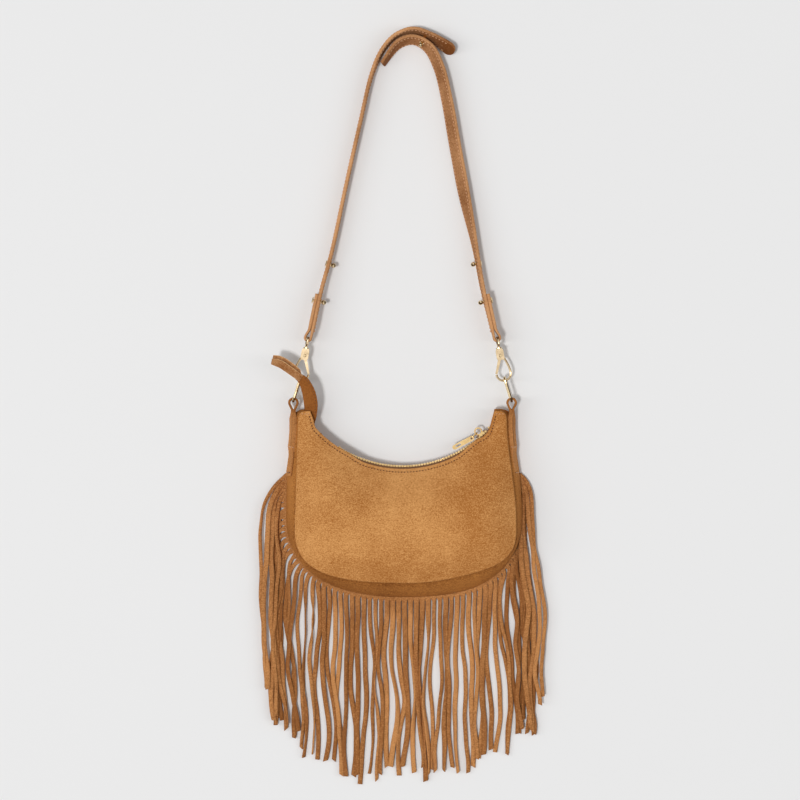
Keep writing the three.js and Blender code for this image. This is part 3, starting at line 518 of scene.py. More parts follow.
def floor():
    finish = Finish("pale_floor")
    speck = finish.grain(finish.place(), size=120)
    shade = finish.blend(speck, PALE, tuple(c * 1.004 for c in PALE))
    corners = [(x * FLOOR_HALF, y * FLOOR_HALF, FLOOR_Z)
               for x, y in ((-1, -1), (1, -1), (1, 1), (-1, 1))]
    mesh = bpy.data.meshes.new("floor")
    mesh.from_pydata(corners, [], [(0, 1, 2, 3)])
    mesh.materials.append(finish.set(base_color=shade, roughness=0.9, specular_ior_level=0.0))
    placed("floor", mesh)


def room():
    """Soft light from all round, which the camera and the metal see as the pale backdrop."""
    world = bpy.data.worlds.new("studio")
    bpy.context.scene.world = world
    world.use_nodes = True
    nodes = Nodes(world.node_tree)
    seen = nodes.node("LightPath", out="Is Camera Ray")
    for kind in ("Is Glossy Ray", "Is Transmission Ray"):
        seen = seen.sum("MAXIMUM", nodes.node("LightPath", out=kind))
    background = nodes.tree.nodes["Background"]
    nodes.put(background.inputs["Color"], (1, 1, 1, 1))
    nodes.put(background.inputs["Strength"], ROOM_LIGHT + seen * (PALE[0] - ROOM_LIGHT))


def lamps():
    sun = bpy.data.lights.new("key", "SUN")
    sun.energy = SUN_POWER
    sun.angle = SUN_WIDTH
    placed("key", sun).rotation_euler = aimed(SUN_WAY)
    for side, power in BOX_POWERS:
        box = bpy.data.lights.new("soft_box", "AREA")
        box.shape = "RECTANGLE"
        box.size, box.size_y = BOX_WIDTH, BOX_LENGTH
        box.energy = power
        lamp = placed("soft_box", box)
        lamp.location = (side * BOX_AWAY, BAG_MIDDLE.y, BOX_HEIGHT)
        lamp.rotation_euler = aimed(BAG_MIDDLE - lamp.location)


def dark_wall():
    """A wall round the stage that only shows in the metal's reflections."""
    turns = np.linspace(0, 2 * math.pi, WALL_SIDES, endpoint=False)
    points = [(WALL_RADIUS * math.cos(a), WALL_RADIUS * math.sin(a), z)
              for z in (WALL_LOW, WALL_HIGH) for a in turns]
    mesh = bpy.data.meshes.new("dark_wall")
    mesh.from_pydata(points, [], grid_faces(2, WALL_SIDES, ring=True))
    finish = Finish("dark_wall")
    mesh.materials.append(finish.set(base_color=colour(78, 66, 54), roughness=1.0))
    wall = placed("dark_wall", mesh)
    wall.visible_camera = wall.visible_diffuse = wall.visible_shadow = False


def camera():
    """Straight above the bag; VIEW_WIDTH fills the frame at the height of VIEW_LEVEL."""
    view = bpy.data.cameras.new("camera")
    view.sensor_width = FILM
    view.lens = FILM * (EYE.z - VIEW_LEVEL) / VIEW_WIDTH
    eye = placed("camera", view)
    eye.location = EYE
    bpy.context.scene.camera = eye


def stage():
    bpy.context.scene.view_settings.view_transform = "Standard"
    floor()
    room()
    lamps()
    dark_wall()
    camera()


# Body

PANEL = dict(columns=220, rows=46, skin=1.7, roll=2.2, turn=1.0, held=6, swell=2.2)
GUSSET_STEPS, GUSSET_ROWS, GUSSET_SKIN = 240, 13, 2.0
BACK_COLUMNS, BACK_ROWS = 200, 28
STITCH_LIFT = 0.12


def crescent(rim_points, mouth_points, shares):
    """Points between a panel's rim and its mouth edge, one row for each share."""
    return np.stack([lerp(rim_points, mouth_points, v) for v in shares])


def hung_mouth(columns):
    """The front panel's mouth edge, which hangs open a little in two places, and its directions
    into the mouth."""
    edge = mouth(columns)
    inward = unit(MOUTH_CENTRE - edge)
    angle = np.degrees(np.arctan2(-inward[:, 0], inward[:, 1]))
    dip = 2.6 * window(angle, -23, 31, 12) + 1.8 * window(angle, 41, 47, 4)
    return edge - inward * dip[:, None], inward


def turned_edge(line, way, height, radius, degrees):
    """Rows of points that turn a sheet's edge down round a small radius."""
    rows = []
    for turn in np.radians(degrees):
        drop = radius * (1 - math.cos(turn))
        rows.append(np.column_stack([line + way * radius * math.sin(turn), height - drop]))
    return rows


def puffed(item, pinned, most):
    """Cloth under light pressure from inside, held at its pinned points; no point moves further
    than most."""
    before = np.array([v.co for v in item.data.vertices])
    group = item.vertex_groups.new(name="sewn")
    group.add([int(i) for i in pinned], 1.0, "REPLACE")
    cloth = item.modifiers.new("cloth", "CLOTH")
    settings = cloth.settings
    settings.quality = 6
    settings.mass = 0.25
    settings.tension_stiffness = settings.compression_stiffness = 18
    settings.bending_stiffness = 1.2
    settings.shrink_min = -0.035
    settings.vertex_group_mass = "sewn"
    settings.use_pressure = True
    settings.uniform_pressure_force = 2.2
    settings.effector_weights.gravity = 0
    cloth.point_cache.frame_end = 24
    scene = bpy.context.scene
    for step in range(1, 21):
        scene.frame_set(step)
    graph = bpy.context.evaluated_depsgraph_get()
    after = np.array([v.co for v in item.evaluated_get(graph).data.vertices])
    item.modifiers.clear()
    item.vertex_groups.clear()
    scene.frame_set(1)
    move = after - before
    length = np.linalg.norm(move, axis=1, keepdims=True)
    move *= most * MM * np.tanh(length / (most * MM)) / np.maximum(length, 1e-9)
    item.data.vertices.foreach_set("co", (before + move).ravel())
    item.data.update()


def front_panel():
    columns, held = PANEL["columns"], PANEL["held"]
    outer, out = rim(FRONT, columns)
    edge, inward = hung_mouth(columns)
    steps = np.arange(columns + 1)
    taper = ramp(np.minimum(steps, steps[::-1]), 0, 9)[:, None]
    inset = outer - out * taper
    shares = (1 - np.cos(np.pi * np.linspace(0, 1, PANEL["rows"]))) / 2
    flat = crescent(inset, edge, shares)
    height = front_height(flat)
    rolled = turned_edge(inset, out * taper, height[0], PANEL["roll"], (115, 85, 55, 28))
    turned = turned_edge(edge, inward * taper, height[-1], PANEL["turn"], (30, 60, 90))
    hem = np.column_stack([edge + inward * 0.9 * taper, height[-1] - 2.0])
    stack = np.array(rolled + list(np.dstack([flat, height])) + turned + [hem])
    rows = len(stack)
    points = stack.reshape(-1, 3)
    item = piece("front_panel_suede", points, grid_faces(rows, columns + 1), PANEL_SUEDE)
    x, y = points[:, 0], points[:, 1]
    # Painted highlight on the middle of the puff; the tone also darkens towards the right and the
    # bottom
    painted_highlight = 0.16 * window(x, -45, 35, 70) * window(y, -5, 45, 50)
    store_tone(item, 0.56 - 0.30 * ramp(x, 20, 110) - 0.36 * ramp(y, -18, -52) + painted_highlight)
    ids = np.arange(len(points)).reshape(rows, columns + 1)
    sewn = [ids[:held], ids[-held:], ids[:, :3], ids[:, -3:]]
    puffed(item, np.unique(np.concatenate([part.ravel() for part in sewn])), PANEL["swell"])
    thicken(item, PANEL["skin"], 1.0)
    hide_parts("front_panel")
    panel_stitching(edge, inward)


def panel_stitching(edge, inward):
    """Pale stitches across both top corners and a dark row along the mouth."""
    def on_panel(line):
        return np.column_stack([line, front_height(line) + STITCH_LIFT])

    for sign, word in SIDES:
        x = sign * np.linspace(MOUTH_HALF + 0.5, FRONT["corner"] - 1.5, 9)
        row = on_panel(np.column_stack([x, np.full(9, TOP_Y - 2.8)]))
        stitches(f"corner_stitching_{word}", row, np.tile(UP, (9, 1)), pitch=2.4, length=1.6,
                 radius=0.5, finish=PALE_THREAD)
    row = on_panel(edge[3:-3] - inward[3:-3] * 2.3)
    stitches("mouth_stitching", row, np.tile(UP, (len(row), 1)), pitch=3.0, length=1.8,
             radius=0.55)


def gusset():
    """The band round the body: it bulges, sags unevenly and is drawn in under the front seam."""
    back, back_out = rim(BACK, GUSSET_STEPS)
    front, front_out = rim(FRONT, GUSSET_STEPS)
    low = lerp(FRINGE_SEAM_Z, BACK_SEAM_Z, ramp(back[:, 1], 59, 69))
    high = seam_height(front) - 0.3
    shares = np.linspace(0, 1, GUSSET_ROWS)
    rings, tones = [], []
    for i in range(GUSSET_STEPS + 1):
        a = np.array([*back[i], low[i]])
        b = np.array([*front[i], high[i]])
        out = unit(np.array([*(back_out[i] + front_out[i]), 0.0]))
        # Painted light on the sides of the band, which face the light
        painted_side_light = 0.5 * ramp(front[i, 1], -5, 40)
        profile, shade = [], []
        for t in shares:
            arch = math.sin(math.pi * t)
            sag = 0.9 * ripple(i * 3.1 * 0.022, t * 1.5, 3.1) * arch
            bulge = 1.8 * arch - 3.2 * ramp(t, 0.74, 0.96) - 0.5 * ramp(t, 0.12, 0)
            profile.append(lerp(a, b, t) + out * (bulge + sag))
            # Painted shade darkens the crease under the front seam; the painted side light is
            # added on
            shade.append(lerp(0.6, 0.0, ramp(t, 0.62, 0.96)) + painted_side_light)
        rings += profile + [p - out * GUSSET_SKIN for p in profile[::-1]]
        tones += shade + shade[::-1]
    # The gusset takes the darker suede, as painted shade
    item = piece("gusset_shaded_suede", rings, tube_faces(GUSSET_STEPS + 1, 2 * GUSSET_ROWS),
                 SHADED_GUSSET_SUEDE)
    store_tone(item, tones)
    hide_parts("gusset")


def back_panel():
    outer, out = rim(BACK, BACK_COLUMNS)
    flat = crescent(outer - out * 0.6, mouth(BACK_COLUMNS), np.linspace(0, 1, BACK_ROWS))
    sheet = np.dstack([flat, np.full(flat.shape[:2], SUEDE - 0.05)])
    brim = np.column_stack([outer - out * 0.1, np.full(BACK_COLUMNS + 1, SUEDE - 0.5)])
    points = np.concatenate([[brim], sheet]).reshape(-1, 3)
    faces = grid_faces(BACK_ROWS + 1, BACK_COLUMNS + 1)
    item = piece("back_panel_suede", points, faces, PANEL_SUEDE)
    store_tone(item, np.full(len(points), 0.45))
    thicken(item, SUEDE - 0.15, 1.0)
    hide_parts("back_panel")


# Fringe

FRINGE = dict(thick=1.35, inset=4, header=1.2, top_y=57, pitch=5.8, width=4.4)
FRINGE_MID_Z = BACK_SEAM_Z + FRINGE["thick"] / 2
FRINGE_CLEAR = 0.12
ACROSS = 4
LINE_STEPS = 46
LAYER = 1.5
# The outermost strips of each side hang over the others and further out
OVER = dict(count=4, x=141, spread=5.2, layer=4.2, wider=1.15, droop=0.85)
FLARE = 10.0
# How low the cut tips hang along X
TIPS = np.array([
    (-146, -137), (-140, -158), (-134, -178), (-128, -188), (-122, -196), (-116, -205),
    (-110, -211), (-104, -217), (-97, -225), (-89, -226), (-82, -233), (-73, -239), (-66, -238),
    (-58, -246), (-43, -250), (-32, -249), (-21, -247), (-9, -243), (0, -246), (19, -248),
    (34, -242), (50, -243), (60, -240), (71, -236), (85, -229), (94, -223), (104, -224),
    (112, -218), (118, -204), (124, -196), (131, -200), (138, -174), (146, -146)])


class FringeBand:
    """The fringe's band in the back seam, with the place and the lie of each strip."""

    def __init__(self):
        seam, out = rim(BACK, 900)
        keep = seam[:, 1] <= FRINGE["top_y"]
        self.seam, self.out = seam[keep], out[keep]
        self.run = travelled(self.seam)
        self.length = self.run[-1]
        self.count = int(self.length // FRINGE["pitch"])
        self.pitch = self.length / self.count
        middles = self.pitch * (np.arange(self.count) + 0.5)
        self.roots = np.array([self.edge(d, FRINGE["header"]) for d in middles])
        self.outs = np.array([self.outward(d) for d in middles])
        numbers = np.arange(self.count)
        self.order = np.minimum(numbers, numbers[::-1])
        self.over = self.order < OVER["count"]
        sign = np.sign(self.roots[:, 0])
        sides = ramp(np.abs(self.outs[:, 0]), 0.5, 0.8)
        hang = self.roots[:, 0] + sides * sign * rng.uniform(6, 11, self.count)
        stray = rng.uniform(-0.8, 0.8, np.sum(self.over))
        outermost = OVER["x"] - OVER["spread"] * self.order[self.over] + stray
        hang[self.over] = sign[self.over] * outermost
        self.tip_x = hang
        self.flare = np.where(sign > 0, FLARE, 0.0) * sides
        self.hang = hang - self.flare

    def outward(self, distance):
        return unit(part_way(distance, self.run, self.out))

    def edge(self, distance, away):
        """A point at a distance along the seam, moved away from it."""
        return part_way(distance, self.run, self.seam) + self.outward(distance) * away


def strip_path(band, number, tip_y):
    """Middle line of one strip from the band's edge to its cut tip, with its bends, and the
    distance along it."""
    root, out, hang_x = band.roots[number], band.outs[number], band.hang[number]
    droop = OVER["droop"] if band.over[number] else 0.0
    stray = rng.normal(0, 0.07)
    lead = unit(out + np.array([-out[1], out[0]]) * stray + np.array([0, -droop]))
    reach = np.clip(abs(hang_x - root[0]) / max(abs(lead[0]), 0.25), 6, 18)
    turn = root[1] + lead[1] * reach - lerp(20, 34, rng.random())
    bend = bezier(root, root + lead * reach * (1 - 0.3 * droop), (hang_x, turn + 20),
                  (hang_x, turn), steps=14)
    drop = np.linspace(turn, min(tip_y, turn - 30), 31)[1:]
    fall = np.column_stack([np.full(len(drop), hang_x), drop])
    line = evenly(np.vstack([bend, fall]), LINE_STEPS)
    run = np.linspace(0, travelled(line)[-1], LINE_STEPS + 1)
    sway = np.array([7.0 * ripple(number * 0.37, r / 105, 1.7)
                     + 6.5 * ripple(number * 2.3, r / 68, 8.2)
                     + 1.2 * ripple(number * 5.1, r / 26, 4.4) for r in run])
    curl = np.array([4.5 * ripple(number * 4.7, r / 44, 9.9) for r in run])
    sway += curl * ramp(abs(out[0]), 0.5, 0.9)
    line[:, 0] += sway * ramp(run, 12, 82) + band.flare[number] * ramp(run, 30, 140)
    return line, run


def hanging_strip(band, i):
    """Rows of points of one strip, the tone of its suede and the area it was cut from."""
    crowd = ramp(abs(band.outs[i][0]), 0.55, 0.8)
    tip = np.interp(band.tip_x[i], TIPS[:, 0], TIPS[:, 1]) + rng.normal(0, 4.5)
    line, run = strip_path(band, i, tip)
    layer = (i % 2) if crowd < 0.5 else rng.integers(0, 3)
    if band.over[i]:
        layer = OVER["layer"] - 0.3 * band.order[i] + (i % 2)
    level = layer * LAYER + 0.5 * rng.random()
    width = FRINGE["width"] * rng.uniform(0.78, 1.16) * (OVER["wider"] if band.over[i] else 1)
    twist = rng.uniform(-1, 1) * (105 if rng.random() < 0.45 else 34)
    shares = np.linspace(0, 1, ACROSS + 1)
    rows = []
    for away in (-FRINGE["inset"], 0.0, 0.5 * FRINGE["header"], FRINGE["header"]):
        edges = [band.edge(band.pitch * (i + share), away) for share in shares]
        rows.append([np.array([*edge, FRINGE_MID_Z]) for edge in edges])
    slit = lerp(4.2, 2.8, crowd)
    for (x, y), (tx, ty), r in list(zip(line, unit(np.gradient(line, axis=0)), run))[1:]:
        ahead = np.array([tx, ty, 0.0])
        lean = math.radians(twist * ripple(i * 1.9, r / 72, 6.3) * 2.0) * ramp(r, 8, 48)
        across = np.array([ty, -tx, 0.0]) * math.cos(lean) + UP * math.sin(lean)
        wide = lerp(band.pitch - 0.5, width * lerp(1, 0.84, crowd), ramp(r, 0, slit))
        rest = FRINGE_CLEAR + FRINGE["thick"] / 2 + abs(math.sin(lean)) * wide / 2
        wave = 0.4 * (1 + ripple(i * 3.3, r / 40, 2.2))
        z = max(lerp(FRINGE_MID_Z, rest + level + wave, ramp(r, 0, 34)), rest)
        centre = np.array([x, y, z])
        cup = np.cross(ahead, across)
        rows.append([centre + across * (u * wide) + cup * (0.35 * (4 * u * u - 0.5))
                     for u in shares - 0.5])
    slant = rng.uniform(-1.6, 1.6)
    rows[-1] = [p + ahead * slant * (2 * share - 1) for p, share in zip(rows[-1], shares)]
    # Random tone per strip, with painted shade on the crowded strips beneath and painted light on
    # the outermost strips lying over them
    tone = rng.random() * lerp(1, 0.6, crowd) - 0.25 * crowd + (0.45 if band.over[i] else 0)
    area = run[-1] * width + band.pitch * (FRINGE["header"] + FRINGE["inset"])
    return rows, tone, area


def fringe():
    band = FringeBand()
    parts, tones, area = [], [], 0.0
    for i in range(band.count):
        rows, tone, cut = hanging_strip(band, i)
        parts.append((np.array(rows).reshape(-1, 3), grid_faces(len(rows), ACROSS + 1)))
        shades = lerp(0.4, tone, ramp(np.arange(len(rows)), 4, 9))
        tones += list(np.repeat(shades, ACROSS + 1))
        area += cut
    item = piece("suede_fringe", *joined(parts), FRINGE_SUEDE)
    store_tone(item, tones)
    mesh = bmesh.new()
    mesh.from_mesh(item.data)
    bmesh.ops.remove_doubles(mesh, verts=mesh.verts, dist=1e-6)
    mesh.to_mesh(item.data)
    mesh.free()
    thicken(item, FRINGE["thick"], 0.0)
    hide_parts("fringe")
    area * MM * MM


# Zip

TAPE_THICK = 0.9
TEETH_START, TEETH_END, TOOTH_PITCH = math.radians(-31.5), math.radians(46.6), 2.8
# Height from the zip's middle and half width of a tooth: two legs, a waist and a rounded head
TOOTH_RINGS = ((0.75, 0.4), (0.95, 0.85), (1.7, 0.9), (2.4, 0.72), (3.4, 0.8))
TOOTH_OUTLINE = ((1, 0.55), (0.6, 1), (-0.6, 1), (-1, 0.55),
                 (-1, -0.55), (-0.6, -1), (0.6, -1), (1, -0.55))


def zip_tape(sign, name, sewn_z, lean, tooth_depth):
    """One half of the zip; lean is how far its sewn edge stands out from its corded edge."""
    corded_z = ZIP_Z + sign * 0.9
    line = mouth(110)[3:-3]
    stations = []
    for p, ahead in zip(line, unit(np.gradient(line, axis=0))):
        away = unit(p - MOUTH_CENTRE)
        sewn = np.array([*(p + away * lean), sewn_z])
        corded = np.array([*p, corded_z])
        across = unit(sewn - corded) * sign
        normal = np.cross(np.array([*ahead, 0.0]), across)
        width = np.linalg.norm(sewn - corded)
        stations.append(((sewn + corded) / 2, across, normal, width, TAPE_THICK))
    tape = piece(f"zip_tape_{name}_cloth", *strip(stations, 0.3), TAPE_CLOTH)
    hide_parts(f"zip_tape_{name}")
    teeth(sign, name, tooth_depth)


def teeth(sign, name, depth):
    """A row of metal teeth clamped on a tape's edge; those of the other tape stand between."""
    count = int((TEETH_END - TEETH_START) * MOUTH_RADIUS / TOOTH_PITCH)
    shift = 0 if sign > 0 else 0.5
    parts = []
    for i in range(count):
        angle = lerp(TEETH_START, TEETH_END, (i + shift) / count)
        along = np.array([math.cos(angle), math.sin(angle), 0])
        out = np.array([-math.sin(angle), math.cos(angle), 0])
        rings = []
        for z, wide in TOOTH_RINGS:
            centre = np.array([*on_mouth(angle), ZIP_Z + sign * z])
            rings += [centre + along * wide * a + out * depth * b for a, b in TOOTH_OUTLINE]
        parts.append((rings, tube_faces(len(TOOTH_RINGS), len(TOOTH_OUTLINE))))
    item = piece(f"zip_teeth_{name}", *joined(parts), ZIP_GOLD, smooth=False)


def zip_tapes():
    zip_tape(1, "front", SEAM_TOP_Z - 0.3, lean=2.6, tooth_depth=1.9)
    zip_tape(-1, "back", BACK_SEAM_Z, lean=0.4, tooth_depth=1.3)


# Strap

STRAP = dict(width=18, thick=3.2, corner=1.0, tail=45, merge=10, tip=8)
HOOK_X, HOOK_Y, CHAIN_Z, TILT, EYE_BAR = 102.5, 149.4, 16.0, math.radians(10.5), 43.4
FOLD = 3.4
# The leather is pared thinner where it folds round the eye's bar
SKIVED, SKIVED_FOLD, SKIVE_RUN = 2.2, 2.9, 16
LEFT_ROUTE = [
    (-81, 241, 14), (-71.5, 276, 10.5), (-56, 348, 9.6), (-42.5, 408, 9.6), (-31, 456, 9.6),
    (-20.5, 480, 9.6), (-7, 495, 9.6), (9, 500.5, 9.6), (27, 495, 9.6), (52, 479, 9.6)]
RIGHT_ROUTE = [
    (80.5, 241, 14), (72, 288, 10.5), (62, 336, 9.6), (53, 384, 9.6), (44.5, 432, 9.6),
    (36.5, 464, 9.6), (26, 483.5, 9.6), (11, 491.5, 9.6), (-4, 487, 9.6), (-20, 467, 9.6)]
# Shares of the length and the degrees that the strap leans there
LEFT_LEAN = ((0, 0.62, 0.84, 0.91, 1), (0, 0, 7, 18, 36))
RIGHT_LEAN = ((0, 0.2, 0.45, 0.8, 0.9, 1), (0, 6, 34, 30, 22, 10))


class StrapLine:
    """The strap's middle line with its leaning faces, measured from the swivel eye."""

    def __init__(self, sign, route, lean):
        self.sign, self.lean = sign, lean
        self.axis = np.array([-sign * math.sin(TILT), math.cos(TILT), 0])
        self.outer = np.array([sign * math.cos(TILT), math.sin(TILT), 0])
        self.bar = np.array([sign * HOOK_X, HOOK_Y, CHAIN_Z]) + self.axis * EYE_BAR
        start = self.bar - self.outer * FOLD
        self.line = through([start, start + self.axis * 12, *route])
        self.run = travelled(self.line)
        self.length = self.run[-1]

    def at(self, distance, offset=0.0):
        """The point, the direction across and the outer face's direction at a distance."""
        behind, point, ahead = (part_way(distance + d, self.run, self.line)
                                for d in (-0.5, 0, 0.5))
        x, y = unit((ahead - behind)[:2])
        level = np.array([self.sign * y, -self.sign * x, 0])
        share = distance / self.length
        shares, degrees = self.lean
        k = min(max(np.searchsorted(shares, share), 1), len(shares) - 1)
        step = ramp(share, shares[k - 1], shares[k])
        lean = math.radians(lerp(degrees[k - 1], degrees[k], step))
        across = UP * math.cos(lean) + level * math.sin(lean)
        out = level * math.cos(lean) - UP * math.sin(lean)
        return point + out * offset, across, out


def strap(name, node, line, tip_sizes):
    """One strap piece from its tail on the outside, round the eye's bar and on to its tip."""
    width, thick = STRAP["width"], STRAP["thick"]
    body = line.length - STRAP["tip"]
    stations, shaded = [], []
    for distance in np.linspace(STRAP["tail"], 0, 26):
        apart = ramp(distance, STRAP["merge"], 0)
        pared = lerp(thick, SKIVED, ramp(distance, SKIVE_RUN, 0))
        point, across, out = line.at(distance, lerp(thick + 0.1, FOLD + SKIVED_FOLD, apart))
        stations.append((point, across, out, width, pared))
        shaded.append(0.0)
    for angle in np.linspace(0, np.pi, 14)[1:-1]:
        normal = line.outer * math.cos(angle) - line.axis * math.sin(angle)
        stations.append((line.bar + normal * SKIVED_FOLD, UP, normal, width, SKIVED))
        shaded.append(0.0)
    for distance in np.linspace(0, body, 170):
        thin = ramp(distance, SKIVE_RUN, 0)
        point, across, out = line.at(distance, (FOLD - SKIVED_FOLD) * thin)
        wide = width * (1 + 0.012 * ripple(distance / 40, line.sign, 5.0))
        stations.append((point, across, -out, wide, lerp(thick, SKIVED, thin)))
        shaded.append(ramp(distance / line.length, 0.8, 0.94))
    for share, size in tip_sizes:
        point, across, out = line.at(body + STRAP["tip"] * share)
        stations.append((point, across, -out, width * size, thick))
        shaded.append(1.0)
    item = piece(name, *strip(stations, STRAP["corner"]), STRAP_SUEDE)
    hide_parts(node)
    reach = np.array([edge_reach(w, t, STRAP["corner"]) for p, a, n, w, t in stations])
    tone = 0.3 + 0.55 * ramp(reach, 0.86, 0.96) - 0.4 * np.array(shaded)[:, None]
    store_tone(item, tone.ravel())
    strap_stitching(name, line, body)


def strap_stitching(name, line, body):
    """A row along each edge of both faces."""
    rise, half = STRAP["thick"] / 2 + 0.05, STRAP["width"] / 2 - 2.4
    for face, word, start in ((1, "outer", STRAP["tail"] + 3), (-1, "inner", 6)):
        for edge, side in ((1, "upper"), (-1, "lower")):
            points, ups = [], []
            for distance in np.linspace(start, body - 2, 150):
                point, across, out = line.at(distance)
                points.append(point + out * face * rise + across * edge * half)
                ups.append(out * face)
            stitches(f"{name}_{word}_{side}_stitching", points, ups, pitch=3.6, length=2.3,
                     radius=0.5, finish=PALE_THREAD)


def straps():
    tongue = [(s, math.sqrt(max(1 - (s * 0.98) ** 2, 0.02))) for s in np.linspace(0.1, 1, 9)]
    blunt = [(0.5, 1.0), (0.9, 1.0), (1.0, 0.94)]
    left = StrapLine(-1, LEFT_ROUTE, LEFT_LEAN)
    right = StrapLine(1, RIGHT_ROUTE, RIGHT_LEAN)
    strap("strap_left_suede", "strap_left", left, tongue)
    strap("strap_right_suede", "strap_right", right, blunt)


# Tabs

RISER = dict(widths=(8, 10.5, 12.5, 14, 13.5, 11, 7), roll=10, thick=2.0, route=[
    (-97, 97, 14), (-94, 105, 18), (-92, 114, 22), (-91.5, 126, 27.5), (-94, 139, 30.5),
    (-98.5, 148.5, 31.5), (-105, 154.5, 31)])
FLAP = dict(widths=(6.6, 7.4, 8.0, 8.4, 8.6, 8.4, 6.4), roll=26, thick=1.3, route=[
    (-100.8, 151.6, 33), (-105, 154.4, 34), (-113, 160.2, 33.4), (-122, 166, 32.4),
    (-130.5, 168.5, 31)])
TAB_STEPS, TAB_CORNER = 50, 0.5
WORN_VOXEL, WORN_ROUNDS, WORN_LUMPS = 0.45, 6, 0.12
# The lower row's dark thread is real stitching that also paints the shadow line along the tab's
# end
TAB_STITCH_ROWS = ((83, PALE_THREAD), (58, THREAD))


def tab_layer(tab, shift=0.0, sink=0.0):
    """Stations of one leather strip that turns about its own length by its roll in degrees."""
    line = evenly(through(tab["route"]), TAB_STEPS)
    stations = []
    for k, (p, ahead) in enumerate(zip(line, unit(np.gradient(line, axis=0)))):
        share = k / TAB_STEPS
        level = unit(np.array([ahead[1], -ahead[0], 0.0]))
        lean = math.radians(tab["roll"] * ramp(share, 0, 0.5))
        across = level * math.cos(lean) + unit(np.cross(level, ahead)) * math.sin(lean)
        normal = unit(np.cross(across, ahead))
        width = np.interp(share, np.linspace(0, 1, len(tab["widths"])), tab["widths"])
        centre = p + across * shift * ramp(share, 0, 0.2) - normal * sink
        stations.append((centre, across, normal, width, tab["thick"]))
    return stations


def zip_tab():
    """The tab on the zip's end: a riser that comes out of the corner and a doubled flap that
    lies over the hook."""
    riser = tab_layer(RISER)
    layers = [tab_layer(FLAP), tab_layer(FLAP, shift=2.6, sink=2.9)]
    # The riser takes the darker suede, as painted shade
    stem = piece("zip_end_tab_riser", *strip(riser, TAB_CORNER), SHADED_TAB_SUEDE)
    flap = piece("zip_end_tab_flap", *joined([strip(layer, TAB_CORNER) for layer in layers]),
                 FLAP_SUEDE)
    # The flap's tone is lighter at the edges of each layer: paler cut edges with a painted
    # highlight on them
    cut = ramp(np.array(edge_reach(1, 0.15, 0.06)), 0.88, 0.98)
    store_tone(flap, 0.12 + 0.85 * np.tile(cut, len(layers) * (TAB_STEPS + 1)))
    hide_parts("zip_end_tab")
    sewn = riser[18:46]
    edge = [c + a * (w / 2 - 1.6) + n * (t / 2 + 0.05) for c, a, n, w, t in sewn]
    stitches("zip_tab_stitching", edge, [n for c, a, n, w, t in sewn], pitch=2.9, length=1.9,
             radius=0.4)


def softened(name, node, finish):
    """A node's solid with its edges worn round, as cut leather has them."""
    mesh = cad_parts[node].data.copy()
    mesh.materials.clear()
    item = placed(name, mesh)
    remesh = item.modifiers.new("remesh", "REMESH")
    remesh.mode = "VOXEL"
    remesh.voxel_size = WORN_VOXEL * MM
    smooth = item.modifiers.new("smooth", "SMOOTH")
    smooth.iterations = WORN_ROUNDS
    bake(item)
    worn = [v.co + v.normal * noise.noise(v.co * 220) * WORN_LUMPS * MM
            for v in item.data.vertices]
    item.data.vertices.foreach_set("co", np.array(worn).ravel())
    item.data.update()
    item.data.materials.append(finish)
    smooth_shaded(item.data)
    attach(item, "bag")
    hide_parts(node)
    return item


def tab_tone(skin):
    """The ring tab's tone: painted shade in the crease between its two layers, and darker round
    the ring.
    """
    reach, y = np.abs(skin[:, 0]), skin[:, 1]
    steps = np.arange(52, 136, 2.0)
    rows = [reach[np.abs(y - step) < 2.5] for step in steps]
    inner = np.interp(y, steps, [row.min() if len(row) else 104 for row in rows])
    outer = np.interp(y, steps, [row.max() if len(row) else 114 for row in rows])
    share = (reach - inner) / np.maximum(outer - inner, 1)
    crease = window(share, 0.56, 0.66, 0.14) * window(y, 84, 114, 4)
    return 0.66 - 0.5 * ramp(y, 112, 120) - 0.75 * crease


def sewn_row(near, axis, marks, height):
    """The highest point of a thin slice of a tab at each mark along an axis."""
    slices = [near[np.abs(near[:, axis] - mark) < 0.6] for mark in marks]
    return [part[np.argmax(part @ height)] + 0.1 * height for part in slices if len(part)]


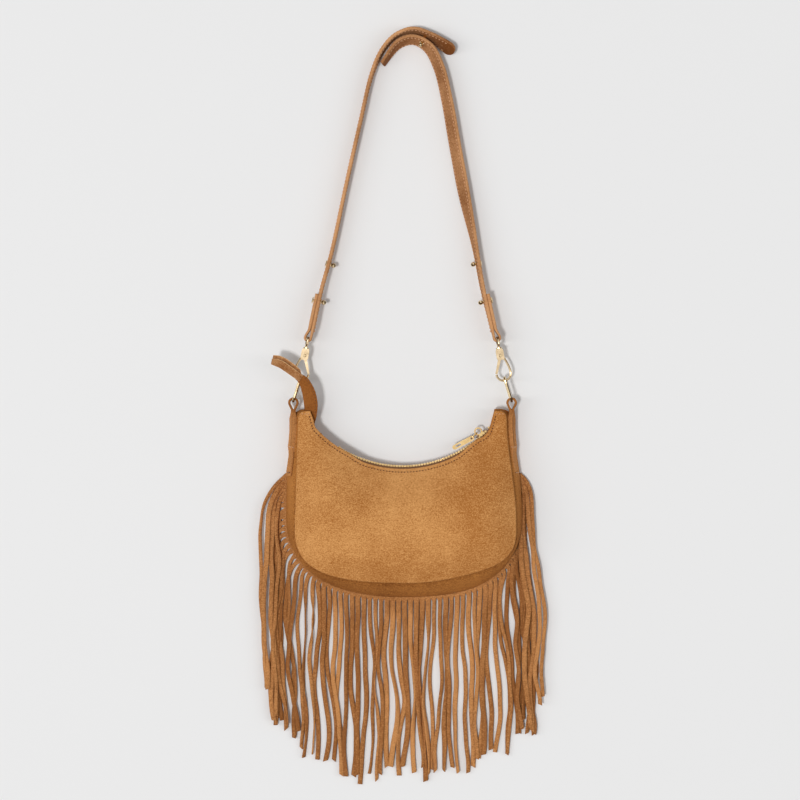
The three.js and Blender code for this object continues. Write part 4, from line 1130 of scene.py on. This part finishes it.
def tab_stitching(side, sign, skin):
    """Rows of stitches across the top and the outer face of a ring tab."""
    outward = np.array([float(sign), 0.0, 0.0])
    slope = np.array([sign * 0.5, 0.0, 0.8])
    for y, upper_thread in TAB_STITCH_ROWS:
        near = skin[np.abs(skin[:, 1] - y) < 0.7]
        low, high = near.min(axis=0), near.max(axis=0)
        line = sewn_row(near, 0, np.linspace(low[0] + 0.8, high[0] - 0.8, 8), UP)
        stitches(f"ring_tab_{side}_stitching_{y}", line, np.tile(slope, (len(line), 1)),
                 pitch=2.5, length=2.1, radius=0.62, finish=upper_thread)
        line = sewn_row(near, 2, np.linspace(low[2] + 1.2, high[2] - 1.6, 8), outward)
        stitches(f"ring_tab_{side}_face_stitching_{y}", line, np.tile(outward, (len(line), 1)),
                 pitch=2.5, length=1.9, radius=0.5, finish=PALE_THREAD)


def ring_tabs():
    for sign, side in SIDES:
        item = softened(f"ring_tab_{side}_suede", f"ring_tab_{side}", LOOP_SUEDE)
        skin = np.array([v.co for v in item.data.vertices]) / MM
        skin[:, 0] -= sign * 1.9 * ramp(skin[:, 1], 86, 72)
        item.data.vertices.foreach_set("co", (skin * MM).ravel())
        item.data.update()
        store_tone(item, tab_tone(skin))
        tab_stitching(side, sign, skin)


# Hardware

SOFT_NODES = ("back_panel", "front_panel", "gusset", "fringe", "zip_tape_front",
              "zip_tape_back", "zip_end_tab", "ring_tab_left", "ring_tab_right", "strap_left",
              "strap_right")
ZIP_NODES = ("zip_stop_left", "zip_stop_right", "zip_slider", "puller_link", "puller_bar")
HOOK_WORDS = ("hook_", "swivel_")


def polish():
    """Plating on the metal pieces, which keep their own shapes."""
    for name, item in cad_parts.items():
        if name in SOFT_NODES:
            continue
        # Hooks and swivels take the darker gold, as painted dark reflections
        finish = SHADED_HOOK_GOLD if name.startswith(HOOK_WORDS) else PALE_GOLD
        item.data.materials.clear()
        item.data.materials.append(ZIP_GOLD if name in ZIP_NODES else finish)
        smooth_shaded(item.data)
        item.data.set_sharp_from_angle(angle=math.radians(38))


stage()
front_panel()
gusset()
back_panel()
fringe()
zip_tapes()
straps()
zip_tab()
ring_tabs()
polish()
